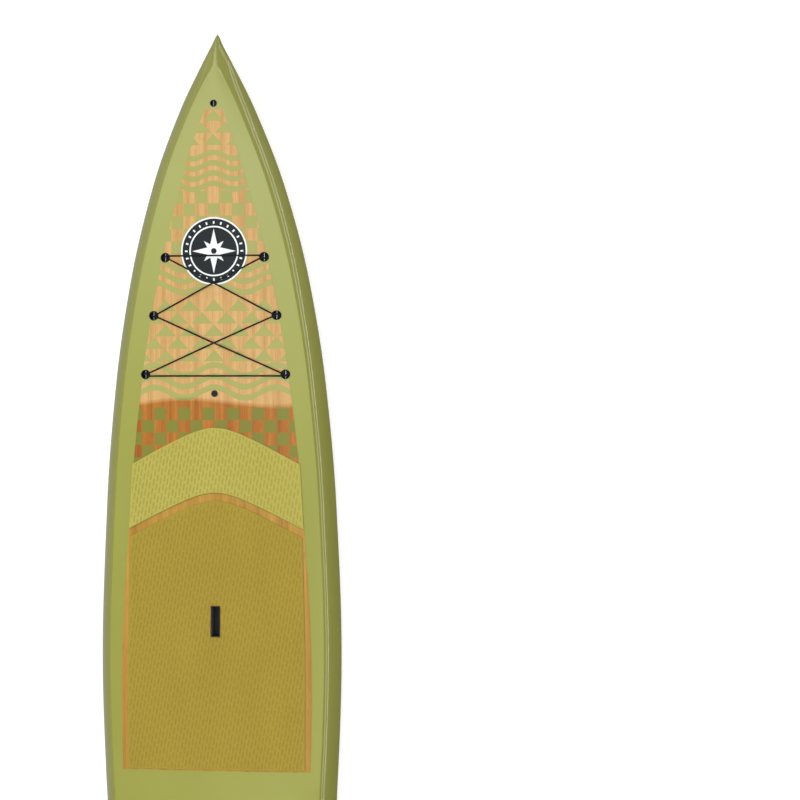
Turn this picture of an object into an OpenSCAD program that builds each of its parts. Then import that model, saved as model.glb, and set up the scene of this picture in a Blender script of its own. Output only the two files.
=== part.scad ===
// Touring stand up paddleboard with a raised tail deck, bamboo skins, deck pads and a bungee.
// +Y points to the nose, +X to the rider's right and +Z up. The origin is on the resting plane
// under the middle of the board's length. "Station" means a distance back from the nose tip.

/* [Board] */
// Length from nose tip to tail
board_l = 3810; // [3650:10:3950]
// Greatest width
board_w = 800; // [740:10:840]
// Thickness of the deck and bottom skins
skin_t = 3; // [2.5:0.5:4]
// Thickness of the bamboo veneers
veneer_t = 0.6; // [0.5:0.1:0.8]
// Thickness of the wooden stringer
stringer_t = 5; // [4:0.5:8]

/* [Pads] */
// Thickness of the EVA deck pads
pad_t = 5; // [4:0.5:7]
// Height of the kick bar above the tail pad's underside
kick_h = 13; // [10:1:16]
// Station of the front pad's tip
front_pad_at = 1279; // [1240:1:1300]
// Length of the front pad on the centre line
front_pad_l = 212; // [180:1:214]
// Station of the main pad's tip
main_pad_at = 1516; // [1510:1:1560]

/* [Bungee] */
// Diameter of the bungee cord
cord_d = 5; // [4:0.5:5]
// Diameter of a bungee plug
plug_d = 31; // [30:0.5:34]
// Diameter of the cross pin in a plug
pin_d = 4; // [3:0.5:4]

/* [Handle] */
// Length of the handle's rim
handle_l = 99; // [95:1:110]
// Width of the handle's rim
handle_w = 29; // [28:1:34]
// Depth of the handle's pocket
handle_depth = 45; // [38:1:50]

/* [Fin box] */
// Length of the fin box's rim
fin_box_l = 267; // [250:1:280]
// Width of the fin box's rim
fin_box_w = 30; // [29:1:34]
// Width of the fin slot
fin_slot_w = 10; // [9.5:0.1:11]
// Depth of the fin box
fin_box_depth = 30; // [28:1:32]

/* [Vent] */
// Outer diameter of the vent plug
vent_d = 22; // [22:0.5:26]
// Length of the vent screw's shank below its head
vent_shank_l = 9; // [7:0.5:10]

/* [Hidden] */

// Profiles of the hull: [share of the length, value], the widths as shares of half the width
half_width_knots = [
    [0, 0.008], [0.0073, 0.037], [0.023, 0.115], [0.063, 0.305], [0.13, 0.55], [0.21, 0.745], [0.30, 0.878],
    [0.40, 0.958], [0.53, 1], [0.66, 0.957], [0.78, 0.855], [0.88, 0.735], [0.95, 0.602], [1, 0.49]
];
rocker_knots = [
    [0, 108], [0.057, 78], [0.12, 58], [0.20, 37], [0.28, 21], [0.364, 10], [0.445, 2],
    [0.485, 0], [0.67, 0], [0.77, 8], [0.86, 17], [0.936, 27], [1, 39]
];
deck_knots = [
    [0, 122], [0.016, 148], [0.037, 162], [0.06, 172], [0.098, 177], [0.16, 168], [0.24, 162],
    [0.32, 154], [0.405, 143], [0.50, 138], [0.61, 140], [0.632, 142], [0.644, 148],
    [0.658, 160], [0.672, 172], [0.70, 175], [0.90, 178], [0.98, 178], [1, 175]
];
// Fall of the deck from the centre line to the crease above the rail
crown_knots = [
    [0, 4], [0.04, 10], [0.13, 18], [0.24, 20], [0.32, 17], [0.405, 12], [0.50, 10],
    [0.632, 13], [0.672, 44], [0.74, 44], [0.80, 38], [0.855, 28], [0.92, 19], [0.97, 9], [1, 6]
];
deck_rail_w = 46;
bottom_rail_w = 50;
deck_rail_power = 1.35;
bottom_rail_power = 1.6;
rail_share_at_nose = 0.85;
least_flat = 0.4;
rail_share = 0.45;
nose_round = 14;
corner_round = 28;
bottom_edge_round = 25;
deck_edge_round = 10;
nose_plug_l = 40;

// Stations where the hull is cut into rows, closer together at the nose, the step and the tail
tail_turns = [0, 20, 40, 60, 75, 90];
stations = [
    for (a = [0, 45, 68, 90]) nose_round * (1 - cos(a)),
    each [28, 48, 78, 118, 168, 230, 300, 380, 470, 570, 680, 800, 930, 1070, 1220, 1380],
    each [1540, 1700, 1850, 2000, 2140, 2280, 2380, 2408, 2432, 2456, 2480, 2507, 2533, 2560],
    each [2600, 2660, 2760, 2880, 3000, 3130, 3260, 3390, 3510, 3610, 3690, 3740] * board_l / 3810,
    for (a = tail_turns) board_l - corner_round * (1 - sin(a))
];
// Columns across half the hull: [share of the flat, angle round the rail]
flat_parts = 5;
rail_parts = 5;
half_columns = [
    for (i = [0 : flat_parts]) [i / flat_parts, 0],
    for (i = [1 : rail_parts]) [1, 90 * i / rail_parts]
];

// Gaps and layers above and below the skins
glue_gap = 0.35;
fit_gap = 0.15;
core_gap = 2.6;
veneer_top = glue_gap + veneer_t;
pad_under = veneer_top + glue_gap;
pad_top = pad_under + pad_t;

// Veneer outlines: ends and the width of the painted border beside them
front_veneer_ends = [250, 2392];
tail_veneer_ends = [2580, board_l - 130];
bottom_veneer_ends = [180, board_l - 90];
deck_border_knots = [[0, 96], [0.066, 98], [0.154, 110], [0.33, 103], [0.62, 78], [0.85, 64], [1, 60]];
bottom_border_knots = [
    [0, 88], [0.047, 92], [0.50, 92], [0.61, 82], [0.72, 68], [0.83, 61], [0.91, 59], [1, 62]
];

// Pad outlines
pad_edge_gap = 4;
chevron_depth = 118;
chevron_soft = 0.3;
front_pad_half = [278, 290];
main_pad_half = [286, 294];
main_pad_end = 2388;
tail_pad_ends = [2590, 3044];
kick_ends = [3047, 3166];
tail_pad_border = 88;

// Deck hardware: [distance right of the centre line, station]
plug_spots = [[-164, 727], [164, 727], [-204, 915], [204, 915], [-232, 1106], [232, 1106]];
plug_count = len(plug_spots);
vent_at = 1168;
tow_at = 230;
leash_at = board_l - 85;
handle_at = 1907;
fin_box_at = board_l - 322;
plug_h = 18;
plug_proud = 1.6;
dish_mouth_r = 14;
dish_floor_r = 9;
dish_depth = 14;
pin_below = 4.5;
pin_clear = 0.05;

small_plug_d = 23;
small_dish = [9.5, 7, 11];

// Cord: the plugs in the order it visits them, and one wrap round a pin, as
// [distance inward, distance along the pin, height above the deck]
cord_order = [0, 1, 2, 5, 4, 3];
cord_wrap = [
    [14, 5, 5.4], [9, 5, 2.2], [6, 5, -5], [2, 4.5, -9.6], [-3, 3, -8.9],
    [-5, 0, -4.5], [-3.5, -2.5, -0.6], [1, -4, 1], [14, -5, 5.4]
];
cord_lift = 5.2;
cord_hump = 10.8;
run_parts = 5;
cord_sides = 8;

badge_at = 707;
badge_r = 110;
badge_t = 0.3;
rail_badge_at = board_l - 160;
rail_badge_z = rail_z(rail_badge_at);
rail_badge_gap = 0.5;
rail_badge_half = [27, 39];

rim_t = 2;
wall_t = 2.5;
handle_ledge = 16;
vent_bore_r = 4;
vent_head_r = 7;
vent_head_h = 3.5;
vent_floor = -5.2;
vent_clear = 0.06;
ring_r = 5.6;
ring_wire_r = 0.8;

olive = [0.68, 0.69, 0.40];
bamboo = [0.89, 0.68, 0.38];
pale_pad = [0.76, 0.73, 0.35];
mustard_pad = [0.67, 0.61, 0.24];
black_plastic = [0.06, 0.06, 0.07];
bright_steel = [0.78, 0.79, 0.80];
white_foam = [0.95, 0.95, 0.93];
block_foam = [0.93, 0.86, 0.66];
spruce = [0.80, 0.64, 0.42];
soft_grip = [0.10, 0.10, 0.11];

// ---- Smooth curves through knots ----

function rise(k, i) = (k[i + 1][1] - k[i][1]) / (k[i + 1][0] - k[i][0]);
function bend(a, b) = a * b <= 0 ? 0 : 2 * a * b / (a + b);
function slope_at(k, i) =
    i == 0 ? rise(k, 0) : i == len(k) - 1 ? rise(k, i - 1) : bend(rise(k, i - 1), rise(k, i));
function span_of(k, s, i = 0) = (i >= len(k) - 2 || s <= k[i + 1][0]) ? i : span_of(k, s, i + 1);
function hermite(a, b, ma, mb, h, t) =
    a * (1 + 2 * t) * pow(1 - t, 2) + b * t * t * (3 - 2 * t)
    + h * t * (1 - t) * (ma * (1 - t) - mb * t);
function between(k, s, i) =
    hermite(k[i][1], k[i + 1][1], slope_at(k, i), slope_at(k, i + 1), k[i + 1][0] - k[i][0],
        (s - k[i][0]) / (k[i + 1][0] - k[i][0]));
function curve(k, s) = between(k, s, span_of(k, s));

// ---- Hull surface ----

function along(d) = min(1, max(0, d / board_l));
function y_of(d) = board_l / 2 - d;
function nose_factor(d) = d >= nose_round ? 1 : sqrt(max(0.04, 1 - pow(1 - d / nose_round, 2)));
function tail_inset(d, r) =
    d <= board_l - corner_round ? 0
    : r * (1 - sqrt(max(0, 1 - pow((d - board_l + corner_round) / corner_round, 2))));
function half_width(d) =
    board_w / 2 * curve(half_width_knots, along(d)) * nose_factor(d) - tail_inset(d, corner_round);
function raw_bottom(d) = curve(rocker_knots, along(d)) + veneer_top;
function raw_deck(d) = curve(deck_knots, along(d));
function crown(d) = curve(crown_knots, along(d));
function rail_z(d) = raw_bottom(d) + rail_share * (raw_deck(d) - crown(d) - raw_bottom(d));
function toward_rail(d, z, r) = rail_z(d) + (z - rail_z(d)) * nose_factor(d) - sign(z - rail_z(d)) * r;
function bottom_mid(d) = toward_rail(d, raw_bottom(d), tail_inset(d, bottom_edge_round));
function deck_mid(d) = toward_rail(d, raw_deck(d), tail_inset(d, deck_edge_round));
function deck_crease_z(d) =
    toward_rail(d, raw_deck(d) - crown(d), tail_inset(d, deck_edge_round));
function flat_within(half, rail_w, inset) =
    max(least_flat, half - inset - min(rail_w, rail_share_at_nose * half));
function deck_flat(d, inset = 0) = flat_within(half_width(d), deck_rail_w, inset);
function bottom_flat(d, inset = 0) = flat_within(half_width(d), bottom_rail_w, inset);

// Height of the skins at a distance x from the centre line
function rail_drop(s, power) = pow(max(0, 1 - pow(min(1, s), power)), 1 / power);
function deck_z(d, x) =
    abs(x) <= deck_flat(d)
    ? deck_mid(d) - (deck_mid(d) - deck_crease_z(d)) * pow(x / deck_flat(d), 2)
    : rail_z(d) + (deck_crease_z(d) - rail_z(d))
        * rail_drop((abs(x) - deck_flat(d)) / (half_width(d) - deck_flat(d)), deck_rail_power);
function bottom_z(d, x) =
    abs(x) <= bottom_flat(d) ? bottom_mid(d)
    : rail_z(d) - (rail_z(d) - bottom_mid(d))
        * rail_drop((abs(x) - bottom_flat(d)) / (half_width(d) - bottom_flat(d)), bottom_rail_power);
// Distance of the rail from the centre line at a height z
function rail_x(d, z) =
    z > rail_z(d)
    ? deck_flat(d) + (half_width(d) - deck_flat(d))
        * rail_drop((z - rail_z(d)) / (deck_crease_z(d) - rail_z(d)), deck_rail_power)
    : bottom_flat(d) + (half_width(d) - bottom_flat(d))
        * rail_drop((rail_z(d) - z) / (rail_z(d) - bottom_mid(d)), bottom_rail_power);

// One point of the hull's section, inset from the skin; side is 1 for the deck, -1 for the bottom
function section_point(d, column, side, inset) =
    let (
        flat = side > 0 ? deck_flat(d, inset) : bottom_flat(d, inset),
        power = side > 0 ? deck_rail_power : bottom_rail_power,
        mid = side > 0 ? deck_mid(d) - inset : bottom_mid(d) + inset,
        crease = side > 0 ? deck_crease_z(d) - inset : mid,
        reach = half_width(d) - inset - flat,
        x = flat * column[0] + reach * pow(sin(column[1]), 2 / power),
        z = column[1] == 0 ? mid - (mid - crease) * column[0] * column[0]
            : rail_z(d) + (crease - rail_z(d)) * pow(cos(column[1]), 2 / power)
    ) [x, y_of(d), z];
function flip(p) = [-p[0], p[1], p[2]];
function half_section(d, side, inset) = [for (c = half_columns) section_point(d, c, side, inset)];
function full_section(d, side, inset) =
    let (half = half_section(d, side, inset), last = len(half) - 1)
    [for (i = [last : -1 : 1]) flip(half[i]), each half];
function inner_station(d) = nose_plug_l + d * (board_l - nose_plug_l - skin_t) / board_l;

// ---- Solids from grids of points ----

function quad(a, b, c, d) = [[a, b, c], [a, c, d]];
function turned(faces, side) = side > 0 ? faces : [for (f = faces) [f[0], f[2], f[1]]];
function grid_faces(rows, cols, first) = [
    for (i = [0 : rows - 2]) for (j = [0 : cols - 2])
        let (a = first + i * cols + j) each quad(a, a + 1, a + cols + 1, a + cols)
];
function flipped(faces) = turned(faces, -1);
function edge_loop(rows, cols, first) = [
    for (j = [0 : cols - 1]) first + j,
    for (i = [1 : rows - 1]) first + i * cols + cols - 1,
    for (j = [cols - 2 : -1 : 0]) first + (rows - 1) * cols + j,
    for (i = [rows - 2 : -1 : 1]) first + i * cols
];
function band(a, b) = [
    for (k = [0 : len(a) - 1]) let (m = (k + 1) % len(a)) each quad(a[k], b[k], b[m], a[m])
];

// Closed layer between two grids with the same rows and columns
module layer(upper, lower) {
    rows = len(upper);
    cols = len(upper[0]);
    count = rows * cols;
    polyhedron(
        points = [for (row = upper) each row, for (row = lower) each row],
        faces = concat(
            grid_faces(rows, cols, 0),
            flipped(grid_faces(rows, cols, count)),
            band(edge_loop(rows, cols, 0), edge_loop(rows, cols, count))
        )
    );
}

// Half of the hull's skin: deck for side 1, bottom for side -1, closed at the nose and tail
module half_skin(side) {
    outer = [for (d = stations) full_section(d, side, 0)];
    inner = [for (d = stations) full_section(inner_station(d), side, skin_t)];
    rows = len(stations);
    cols = len(outer[0]);
    count = rows * cols;
    ends = [
        for (d = [stations[0], board_l, inner_station(stations[0]), inner_station(board_l)])
            [0, y_of(d), rail_z(d)]
    ];
    nose_fan = function(first, hub) [for (j = [0 : cols - 2]) [hub, first + j + 1, first + j]];
    tail_fan = function(first, hub)
        let (row = first + (rows - 1) * cols)
        [for (j = [0 : cols - 2]) [hub, row + j, row + j + 1]];
    closed_side = function(first, nose, tail) concat(
        grid_faces(rows, cols, first),
        nose_fan(first, nose),
        tail_fan(first, tail)
    );
    rim = function(first, nose, tail) [
        for (i = [0 : rows - 1]) first + i * cols,
        tail,
        for (i = [rows - 1 : -1 : 0]) first + i * cols + cols - 1,
        nose
    ];
    n = 2 * count;
    polyhedron(
        points = concat([for (row = outer) each row], [for (row = inner) each row], ends),
        faces = turned(concat(
            closed_side(0, n, n + 1),
            flipped(closed_side(count, n + 2, n + 3)),
            band(rim(count, n + 2, n + 3), rim(0, n, n + 1))
        ), side)
    );
}

// ---- Placing hardware on the skins ----

function deck_lean(d, x) = atan((deck_z(d, x - 5) - deck_z(d, x + 5)) / 10);
function deck_pitch(d) = atan((deck_mid(d - 10) - deck_mid(d + 10)) / 20);
module on_deck(d, x = 0) {
    translate([x, y_of(d), deck_z(d, x)])
    rotate([0, deck_lean(d, x), 0])
    rotate([deck_pitch(d), 0, 0])
    children();
}
function bottom_pitch(d) = atan((bottom_mid(d - 60) - bottom_mid(d + 60)) / 120);
module on_bottom(d) {
    translate([0, y_of(d), bottom_mid(d) - veneer_top])
    rotate([bottom_pitch(d), 0, 0])
    mirror([0, 0, 1])
    children();
}

module slot_prism(l, w, h) {
    translate([-w / 2, -l / 2, 0]) cube([w, l, h]);
}

// Space taken by each fitting, for the pockets round it
module plug_space(d, gap, depth, up = 4) {
    translate([0, 0, -depth - gap]) cylinder(h = depth + gap + up, d = d + 2 * gap, $fn = 48);
}
module handle_space(gap) {
    translate([0, 0, -handle_depth - gap])
    slot_prism(handle_l + 2 * gap, handle_w + 2 * gap, handle_depth + 12);
    translate([0, 0, -handle_depth - gap])
    slot_prism(handle_l + 2 * gap, handle_w + 2 * handle_ledge + 2 * gap, handle_depth - 12 + 2 * gap);
}
module fin_box_space(gap) {
    translate([0, 0, -fin_box_depth - gap])
    slot_prism(fin_box_l + 2 * gap, fin_box_w + 2 * gap, fin_box_depth + gap + 4);
}
module plug_spaces(gap) {
    for (spot = plug_spots) on_deck(spot[1], spot[0]) plug_space(plug_d, gap, plug_h);
    on_vent() plug_space(vent_d, gap, plug_h);
    on_deck(tow_at) plug_space(small_plug_d, gap, plug_h);
    on_deck(leash_at) plug_space(plug_d, gap, plug_h);
}
module deck_fittings(gap) {
    plug_spaces(gap);
    on_deck(handle_at) handle_space(gap);
}

// ---- Hull ----

module deck_shell() {
    color(olive)
    difference() {
        half_skin(1);
        deck_fittings(fit_gap);
    }
}

module bottom_shell() {
    color(olive)
    difference() {
        half_skin(-1);
        on_bottom(fin_box_at) fin_box_space(fit_gap);
    }
}

core_inset = skin_t + core_gap;
core_ends = [138, board_l - 34];
function core_station(d) = core_ends[0] + d * (core_ends[1] - core_ends[0]) / board_l;

// Half of the foam core: a loft of closed sections from the stringer out to the rail
module core_half() {
    wall_x = stringer_t / 2 + core_gap;
    ring = function(d) let (
            deck = half_section(d, 1, core_inset),
            bottom = half_section(d, -1, core_inset),
            reach = half_width(d) - core_inset,
            shift = function(p) [wall_x + p[0] * (1 - wall_x / reach), p[1], p[2]]
        ) [
            for (p = deck) shift(p),
            for (i = [len(bottom) - 2 : -1 : 0]) shift(bottom[i])
        ];
    rings = [for (d = stations) ring(core_station(d))];
    cols = len(rings[0]);
    rows = len(rings);
    hub = len(half_columns) - 1;
    last = (rows - 1) * cols;
    polyhedron(
        points = [for (r = rings) each r],
        faces = concat(
            [for (i = [0 : rows - 2]) for (j = [0 : cols - 1])
                let (a = i * cols + j, b = i * cols + (j + 1) % cols)
                each quad(a, b, b + cols, a + cols)],
            [for (j = [hub + 1 : hub + cols - 2]) [hub, (j + 1) % cols, j % cols]],
            [for (j = [hub + 1 : hub + cols - 2]) [last + hub, last + j % cols, last + (j + 1) % cols]]
        )
    );
}

module core_pockets() {
    plug_spaces(3 * fit_gap);
    on_deck(handle_at) block_space(handle_block_size, core_gap);
    on_bottom(fin_box_at) block_space(fin_block_size, core_gap);
}

module core_right() {
    color(white_foam)
    difference() {
        core_half();
        core_pockets();
    }
}

module core_left() {
    color(white_foam)
    difference() {
        mirror([1, 0, 0]) core_half();
        core_pockets();
    }
}

// Blocks of dense foam that hold the handle and the fin box: [width, length, depth]
handle_block_size = [120, 150, 62];
fin_block_size = [70, 320, 48];
handle_block_top = 4.5;
fin_block_top = 6;
module block_space(size, gap) {
    translate([-size[0] / 2 - gap, -size[1] / 2 - gap, -size[2] - gap])
    cube([size[0] + 2 * gap, size[1] + 2 * gap, size[2] + gap + 20]);
}
module block(size, top) {
    translate([-size[0] / 2, -size[1] / 2, -size[2]])
    cube([size[0], size[1], size[2] - top]);
}

module handle_block() {
    color(block_foam)
    on_deck(handle_at)
    difference() {
        block(handle_block_size, handle_block_top);
        handle_space(2 * fit_gap);
    }
}

module fin_block() {
    color(block_foam)
    on_bottom(fin_box_at)
    difference() {
        block(fin_block_size, fin_block_top);
        fin_box_space(2 * fit_gap);
    }
}

module stringer() {
    deck_line = [for (d = stations) let (s = core_station(d)) [y_of(s), deck_mid(s) - core_inset]];
    bottom_line = [for (d = stations) let (s = core_station(d)) [y_of(s), bottom_mid(s) + core_inset]];
    last = len(stations) - 1;
    outline = concat(deck_line, [for (i = [last : -1 : 0]) bottom_line[i]]);
    color(spruce)
    difference() {
        translate([-stringer_t / 2, 0, 0])
        rotate([90, 0, 90])
        linear_extrude(stringer_t) polygon(outline);
        core_pockets();
    }
}

// ---- Veneers, pads and badges: layers that follow the skins ----

function deck_row(d, half, lift, parts) = [
    for (j = [-parts : parts]) let (x = half * j / parts) [x, y_of(d), deck_z(d, x) + lift]
];
function bottom_row(d, half, drop, parts) = [
    for (j = [parts : -1 : -parts]) let (x = half * j / parts) [x, y_of(d), bottom_z(d, x) - drop]
];
function rows_in(ends) = [
    ends[0],
    for (d = stations) if (d > ends[0] + 12 && d < ends[1] - 12) d,
    ends[1]
];
function deck_veneer_half(d) = half_width(d) - curve(deck_border_knots, along(d));
function bottom_veneer_half(d) = max(3, half_width(d) - curve(bottom_border_knots, along(d)));

module deck_veneer(ends) {
    rows = rows_in(ends);
    layer(
        [for (d = rows) deck_row(d, deck_veneer_half(d), veneer_top, 7)],
        [for (d = rows) deck_row(d, deck_veneer_half(d), glue_gap, 7)]
    );
}

module deck_veneer_front() {
    color(bamboo)
    difference() {
        deck_veneer(front_veneer_ends);
        deck_fittings(fit_gap);
    }
}

module deck_veneer_tail() {
    color(bamboo) deck_veneer(tail_veneer_ends);
}

module bottom_veneer() {
    rows = rows_in(bottom_veneer_ends);
    color(bamboo)
    difference() {
        layer(
            [for (d = rows) bottom_row(d, bottom_veneer_half(d), veneer_top, 2)],
            [for (d = rows) bottom_row(d, bottom_veneer_half(d), glue_gap, 2)]
        );
        on_bottom(fin_box_at) fin_box_space(fit_gap);
    }
}

// A pad between two edges, each a function of the share of the half width; its side follows half()
module pad(front, rear, half, parts, cuts, low, high) {
    share = function(i) i / cuts;
    point = function(i, u, lift) let (
            d = front(abs(u)) + (rear(abs(u)) - front(abs(u))) * share(i),
            x = half(d) * u
        ) [x, y_of(d), deck_z(d, x) + lift];
    layer(
        [for (i = [0 : cuts]) [for (j = [-parts : parts]) point(i, j / parts, high)]],
        [for (i = [0 : cuts]) [for (j = [-parts : parts]) point(i, j / parts, low)]]
    );
}
function chevron(tip, u) =
    tip + chevron_depth * (sqrt(u * u + chevron_soft * chevron_soft) - chevron_soft)
    / (sqrt(1 + chevron_soft * chevron_soft) - chevron_soft);
function share_between(d, from, to) = min(1, max(0, (d - from) / (to - from)));
function blend_to(pair, d, from, to) = pair[0] + (pair[1] - pair[0]) * share_between(d, from, to);

module front_pad() {
    color(pale_pad)
    pad(
        function(u) chevron(front_pad_at, u),
        function(u) chevron(front_pad_at + front_pad_l, u),
        function(d) blend_to(front_pad_half, d, 1392, 1610),
        8, 3, pad_under, pad_top
    );
}

module main_pad() {
    color(mustard_pad)
    difference() {
        pad(
            function(u) chevron(main_pad_at, u),
            function(u) main_pad_end,
            function(d) blend_to(main_pad_half, d, 1639, 2000),
            8, 8, pad_under, pad_top
        );
        on_deck(handle_at)
        slot_prism(handle_l + 2 * pad_edge_gap, handle_w + 2 * pad_edge_gap, 12);
    }
}

module tail_pad() {
    color(mustard_pad)
    pad(
        function(u) tail_pad_ends[0],
        function(u) tail_pad_ends[1],
        function(d) half_width(d) - tail_pad_border,
        8, 5, pad_under, pad_top
    );
}

module kick_bar() {
    color(mustard_pad)
    layer(kick_rows(true), kick_rows(false));
}
kick_shape = [[0, 5], [0.1, 9], [0.3, 12], [0.62, 13], [0.9, 12], [1, 8]];
function kick_rows(top) = [
    for (k = kick_shape)
        let (d = kick_ends[0] + (kick_ends[1] - kick_ends[0]) * k[0])
        deck_row(d, half_width(d) - tail_pad_border, pad_under + (top ? k[1] * kick_h / 13 : 0), 8)
];

module deck_badge() {
    steps = 30;
    rings = [1, 38, 75, badge_r];
    point = function(r, a, lift)
        let (x = r * sin(a), d = badge_at - r * cos(a)) [x, y_of(d), deck_z(d, x) + lift];
    spread = function(lift) [for (r = rings) [for (k = [0 : steps]) point(r, k * 360 / steps, lift)]];
    color(black_plastic)
    disc(spread(pad_under + badge_t), spread(pad_under), steps);
}

// Closed round layer between two grids of rings; the last column of each repeats the first
module disc(upper, lower, steps) {
    rings = len(upper);
    ring_points = function(grid) [for (r = grid) each [for (k = [0 : steps - 1]) r[k]]];
    count = rings * steps;
    wrap = function(first, i, k) first + i * steps + k % steps;
    faces_of = function(first) [
        for (i = [0 : rings - 2]) for (k = [0 : steps - 1])
            each quad(wrap(first, i, k), wrap(first, i, k + 1), wrap(first, i + 1, k + 1),
                wrap(first, i + 1, k))
    ];
    hubs = [upper[0][0] / 2 + upper[0][steps / 2] / 2, lower[0][0] / 2 + lower[0][steps / 2] / 2];
    hub_fan = function(first, hub) [
        for (k = [0 : steps - 1]) [hub, wrap(first, 0, k + 1), wrap(first, 0, k)]
    ];
    outer_ring = function(first) [for (k = [0 : steps - 1]) wrap(first, rings - 1, k)];
    polyhedron(
        points = concat(ring_points(upper), ring_points(lower), hubs),
        faces = concat(
            flipped(faces_of(0)),
            flipped(hub_fan(0, 2 * count)),
            faces_of(count),
            hub_fan(count, 2 * count + 1),
            band(outer_ring(0), outer_ring(count))
        )
    );
}

module rail_badge() {
    steps = 24;
    rings = [0.04, 0.4, 0.7, 1];
    point = function(r, a, lift) let (
            d = rail_badge_at - rail_badge_half[0] * r * cos(a),
            z = rail_badge_z - rail_badge_half[1] * r * sin(a)
        ) [rail_x(d, z) + lift, y_of(d), z];
    spread = function(lift) [for (r = rings) [for (k = [0 : steps]) point(r, k * 360 / steps, lift)]];
    disc(spread(rail_badge_gap + badge_t), spread(rail_badge_gap), steps);
}

module rail_badge_right() {
    color(black_plastic) rail_badge();
}

module rail_badge_left() {
    color(black_plastic) mirror([1, 0, 0]) rail_badge();
}

// ---- Handle and fin box ----

// Recessed carry handle: a deep pocket with a finger ledge undercut on both sides
module handle_cup() {
    ledge_top = -12;
    floor_z = -handle_depth;
    inner_w = handle_w - 2 * wall_t;
    inner_l = handle_l - 2 * wall_t;
    wide = handle_w + 2 * handle_ledge;
    color(black_plastic)
    on_deck(handle_at)
    difference() {
        union() {
            translate([0, 0, floor_z]) slot_prism(handle_l, wide, handle_depth + ledge_top);
            translate([0, 0, floor_z]) slot_prism(handle_l, handle_w, handle_depth + pad_top);
        }
        translate([0, 0, floor_z + wall_t])
        slot_prism(inner_l, wide - 2 * wall_t, handle_depth + ledge_top - 2 * wall_t);
        translate([0, 0, floor_z + wall_t]) slot_prism(inner_l, inner_w, handle_depth + 20);
    }
}

// Soft grip strips on the inner faces of the handle's throat
module handle_grip() {
    strip_t = 1.6;
    strip_l = handle_l - 2 * wall_t - 8;
    strip_h = 12;
    x = handle_w / 2 - wall_t - strip_t - 0.02;
    color(soft_grip)
    on_deck(handle_at)
    for (side = [-1, 1])
        translate([side * (x + strip_t / 2) - strip_t / 2, -strip_l / 2, -strip_h + 2])
        cube([strip_t, strip_l, strip_h]);
}

// Fin box with a long slot, side grooves for the fin's pin and a notch to drop the pin in
module fin_box() {
    slot_l = fin_box_l - 16;
    slot_depth = fin_box_depth - 5;
    groove_w = fin_slot_w + 7;
    groove_h = 4.5;
    groove_z = -13;
    notch_l = 8;
    body_w = 24;
    color(black_plastic)
    on_bottom(fin_box_at)
    difference() {
        union() {
            translate([0, 0, -rim_t]) slot_prism(fin_box_l, fin_box_w, rim_t);
            translate([0, 0, -fin_box_depth]) slot_prism(fin_box_l - 5, body_w, fin_box_depth - 1);
        }
        translate([0, 0, -slot_depth]) slot_prism(slot_l, fin_slot_w, slot_depth + 5);
        translate([0, 0, groove_z]) slot_prism(slot_l, groove_w, groove_h);
        translate([0, 0, groove_z]) slot_prism(notch_l, groove_w, 20);
    }
}

// ---- Plugs ----

// Round plug with a dished mouth and a blind cross bore for its pin
module dished_plug(d, dish, height) {
    pin_l = d - 4;
    difference() {
        translate([0, 0, -height]) cylinder(h = height + plug_proud, d = d, $fn = 64);
        translate([0, 0, -dish[2]])
        cylinder(h = dish[2] + plug_proud, r1 = dish[1], r2 = dish[0], $fn = 64);
        translate([0, pin_l / 2, -pin_below])
        rotate([90, 0, 0]) cylinder(h = pin_l, d = pin_d + 2 * pin_clear, $fn = 32);
    }
}

module cross_pin(d) {
    pin_l = d - 4.2;
    translate([0, pin_l / 2, -pin_below])
    rotate([90, 0, 0]) cylinder(h = pin_l, d = pin_d, $fn = 32);
}

module bungee_plug(i) {
    spot = plug_spots[i - 1];
    color(black_plastic)
    on_deck(spot[1], spot[0]) dished_plug(plug_d, [dish_mouth_r, dish_floor_r, dish_depth], plug_h);
}

module bungee_pin(i) {
    spot = plug_spots[i - 1];
    color(bright_steel)
    on_deck(spot[1], spot[0]) cross_pin(plug_d);
}

module tow_plug() {
    color(black_plastic)
    on_deck(tow_at) dished_plug(small_plug_d, small_dish, plug_h);
}

module tow_pin() {
    color(bright_steel)
    on_deck(tow_at) cross_pin(small_plug_d);
}

module leash_plug() {
    color(black_plastic)
    on_deck(leash_at) dished_plug(plug_d, [dish_mouth_r, dish_floor_r, dish_depth], plug_h);
}

module leash_pin() {
    color(bright_steel)
    on_deck(leash_at) cross_pin(plug_d);
}

// ---- Bungee cord ----

// Position of a point given as [distance right, station, height above the deck]
function over_deck(p) = [p[0], y_of(p[1]), deck_z(p[1], p[0]) + p[2]];
function inward(spot) = spot[0] > 0 ? -1 : 1;
function pitched(p, a) = [p[0], p[1] * cos(a) - p[2] * sin(a), p[1] * sin(a) + p[2] * cos(a)];
function leaned(p, a) = [p[0] * cos(a) + p[2] * sin(a), p[1], p[2] * cos(a) - p[0] * sin(a)];
// A point in a plug's own tilted frame, in the board's frame
function in_plug(spot, p) =
    over_deck([spot[0], spot[1], 0]) + leaned(pitched(p, deck_pitch(spot[1])), deck_lean(spot[1], spot[0]));
// The cord's wrap round one plug's pin; it enters on the nose side when forward is 1
function wrap_points(spot, forward) = [
    for (w = cord_wrap) in_plug(spot, [inward(spot) * w[0], forward * w[1], w[2]])
];
function run_points(from, to, over) = [
    for (k = [1 : run_parts - 1])
        let (
            t = k / run_parts,
            x = from[0] + (to[0] - from[0]) * t,
            d = from[1] + (to[1] - from[1]) * t,
            lift = over && abs(t - 0.5) < 0.2 ? cord_hump : cord_lift
        ) over_deck([x, d, lift])
];
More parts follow.
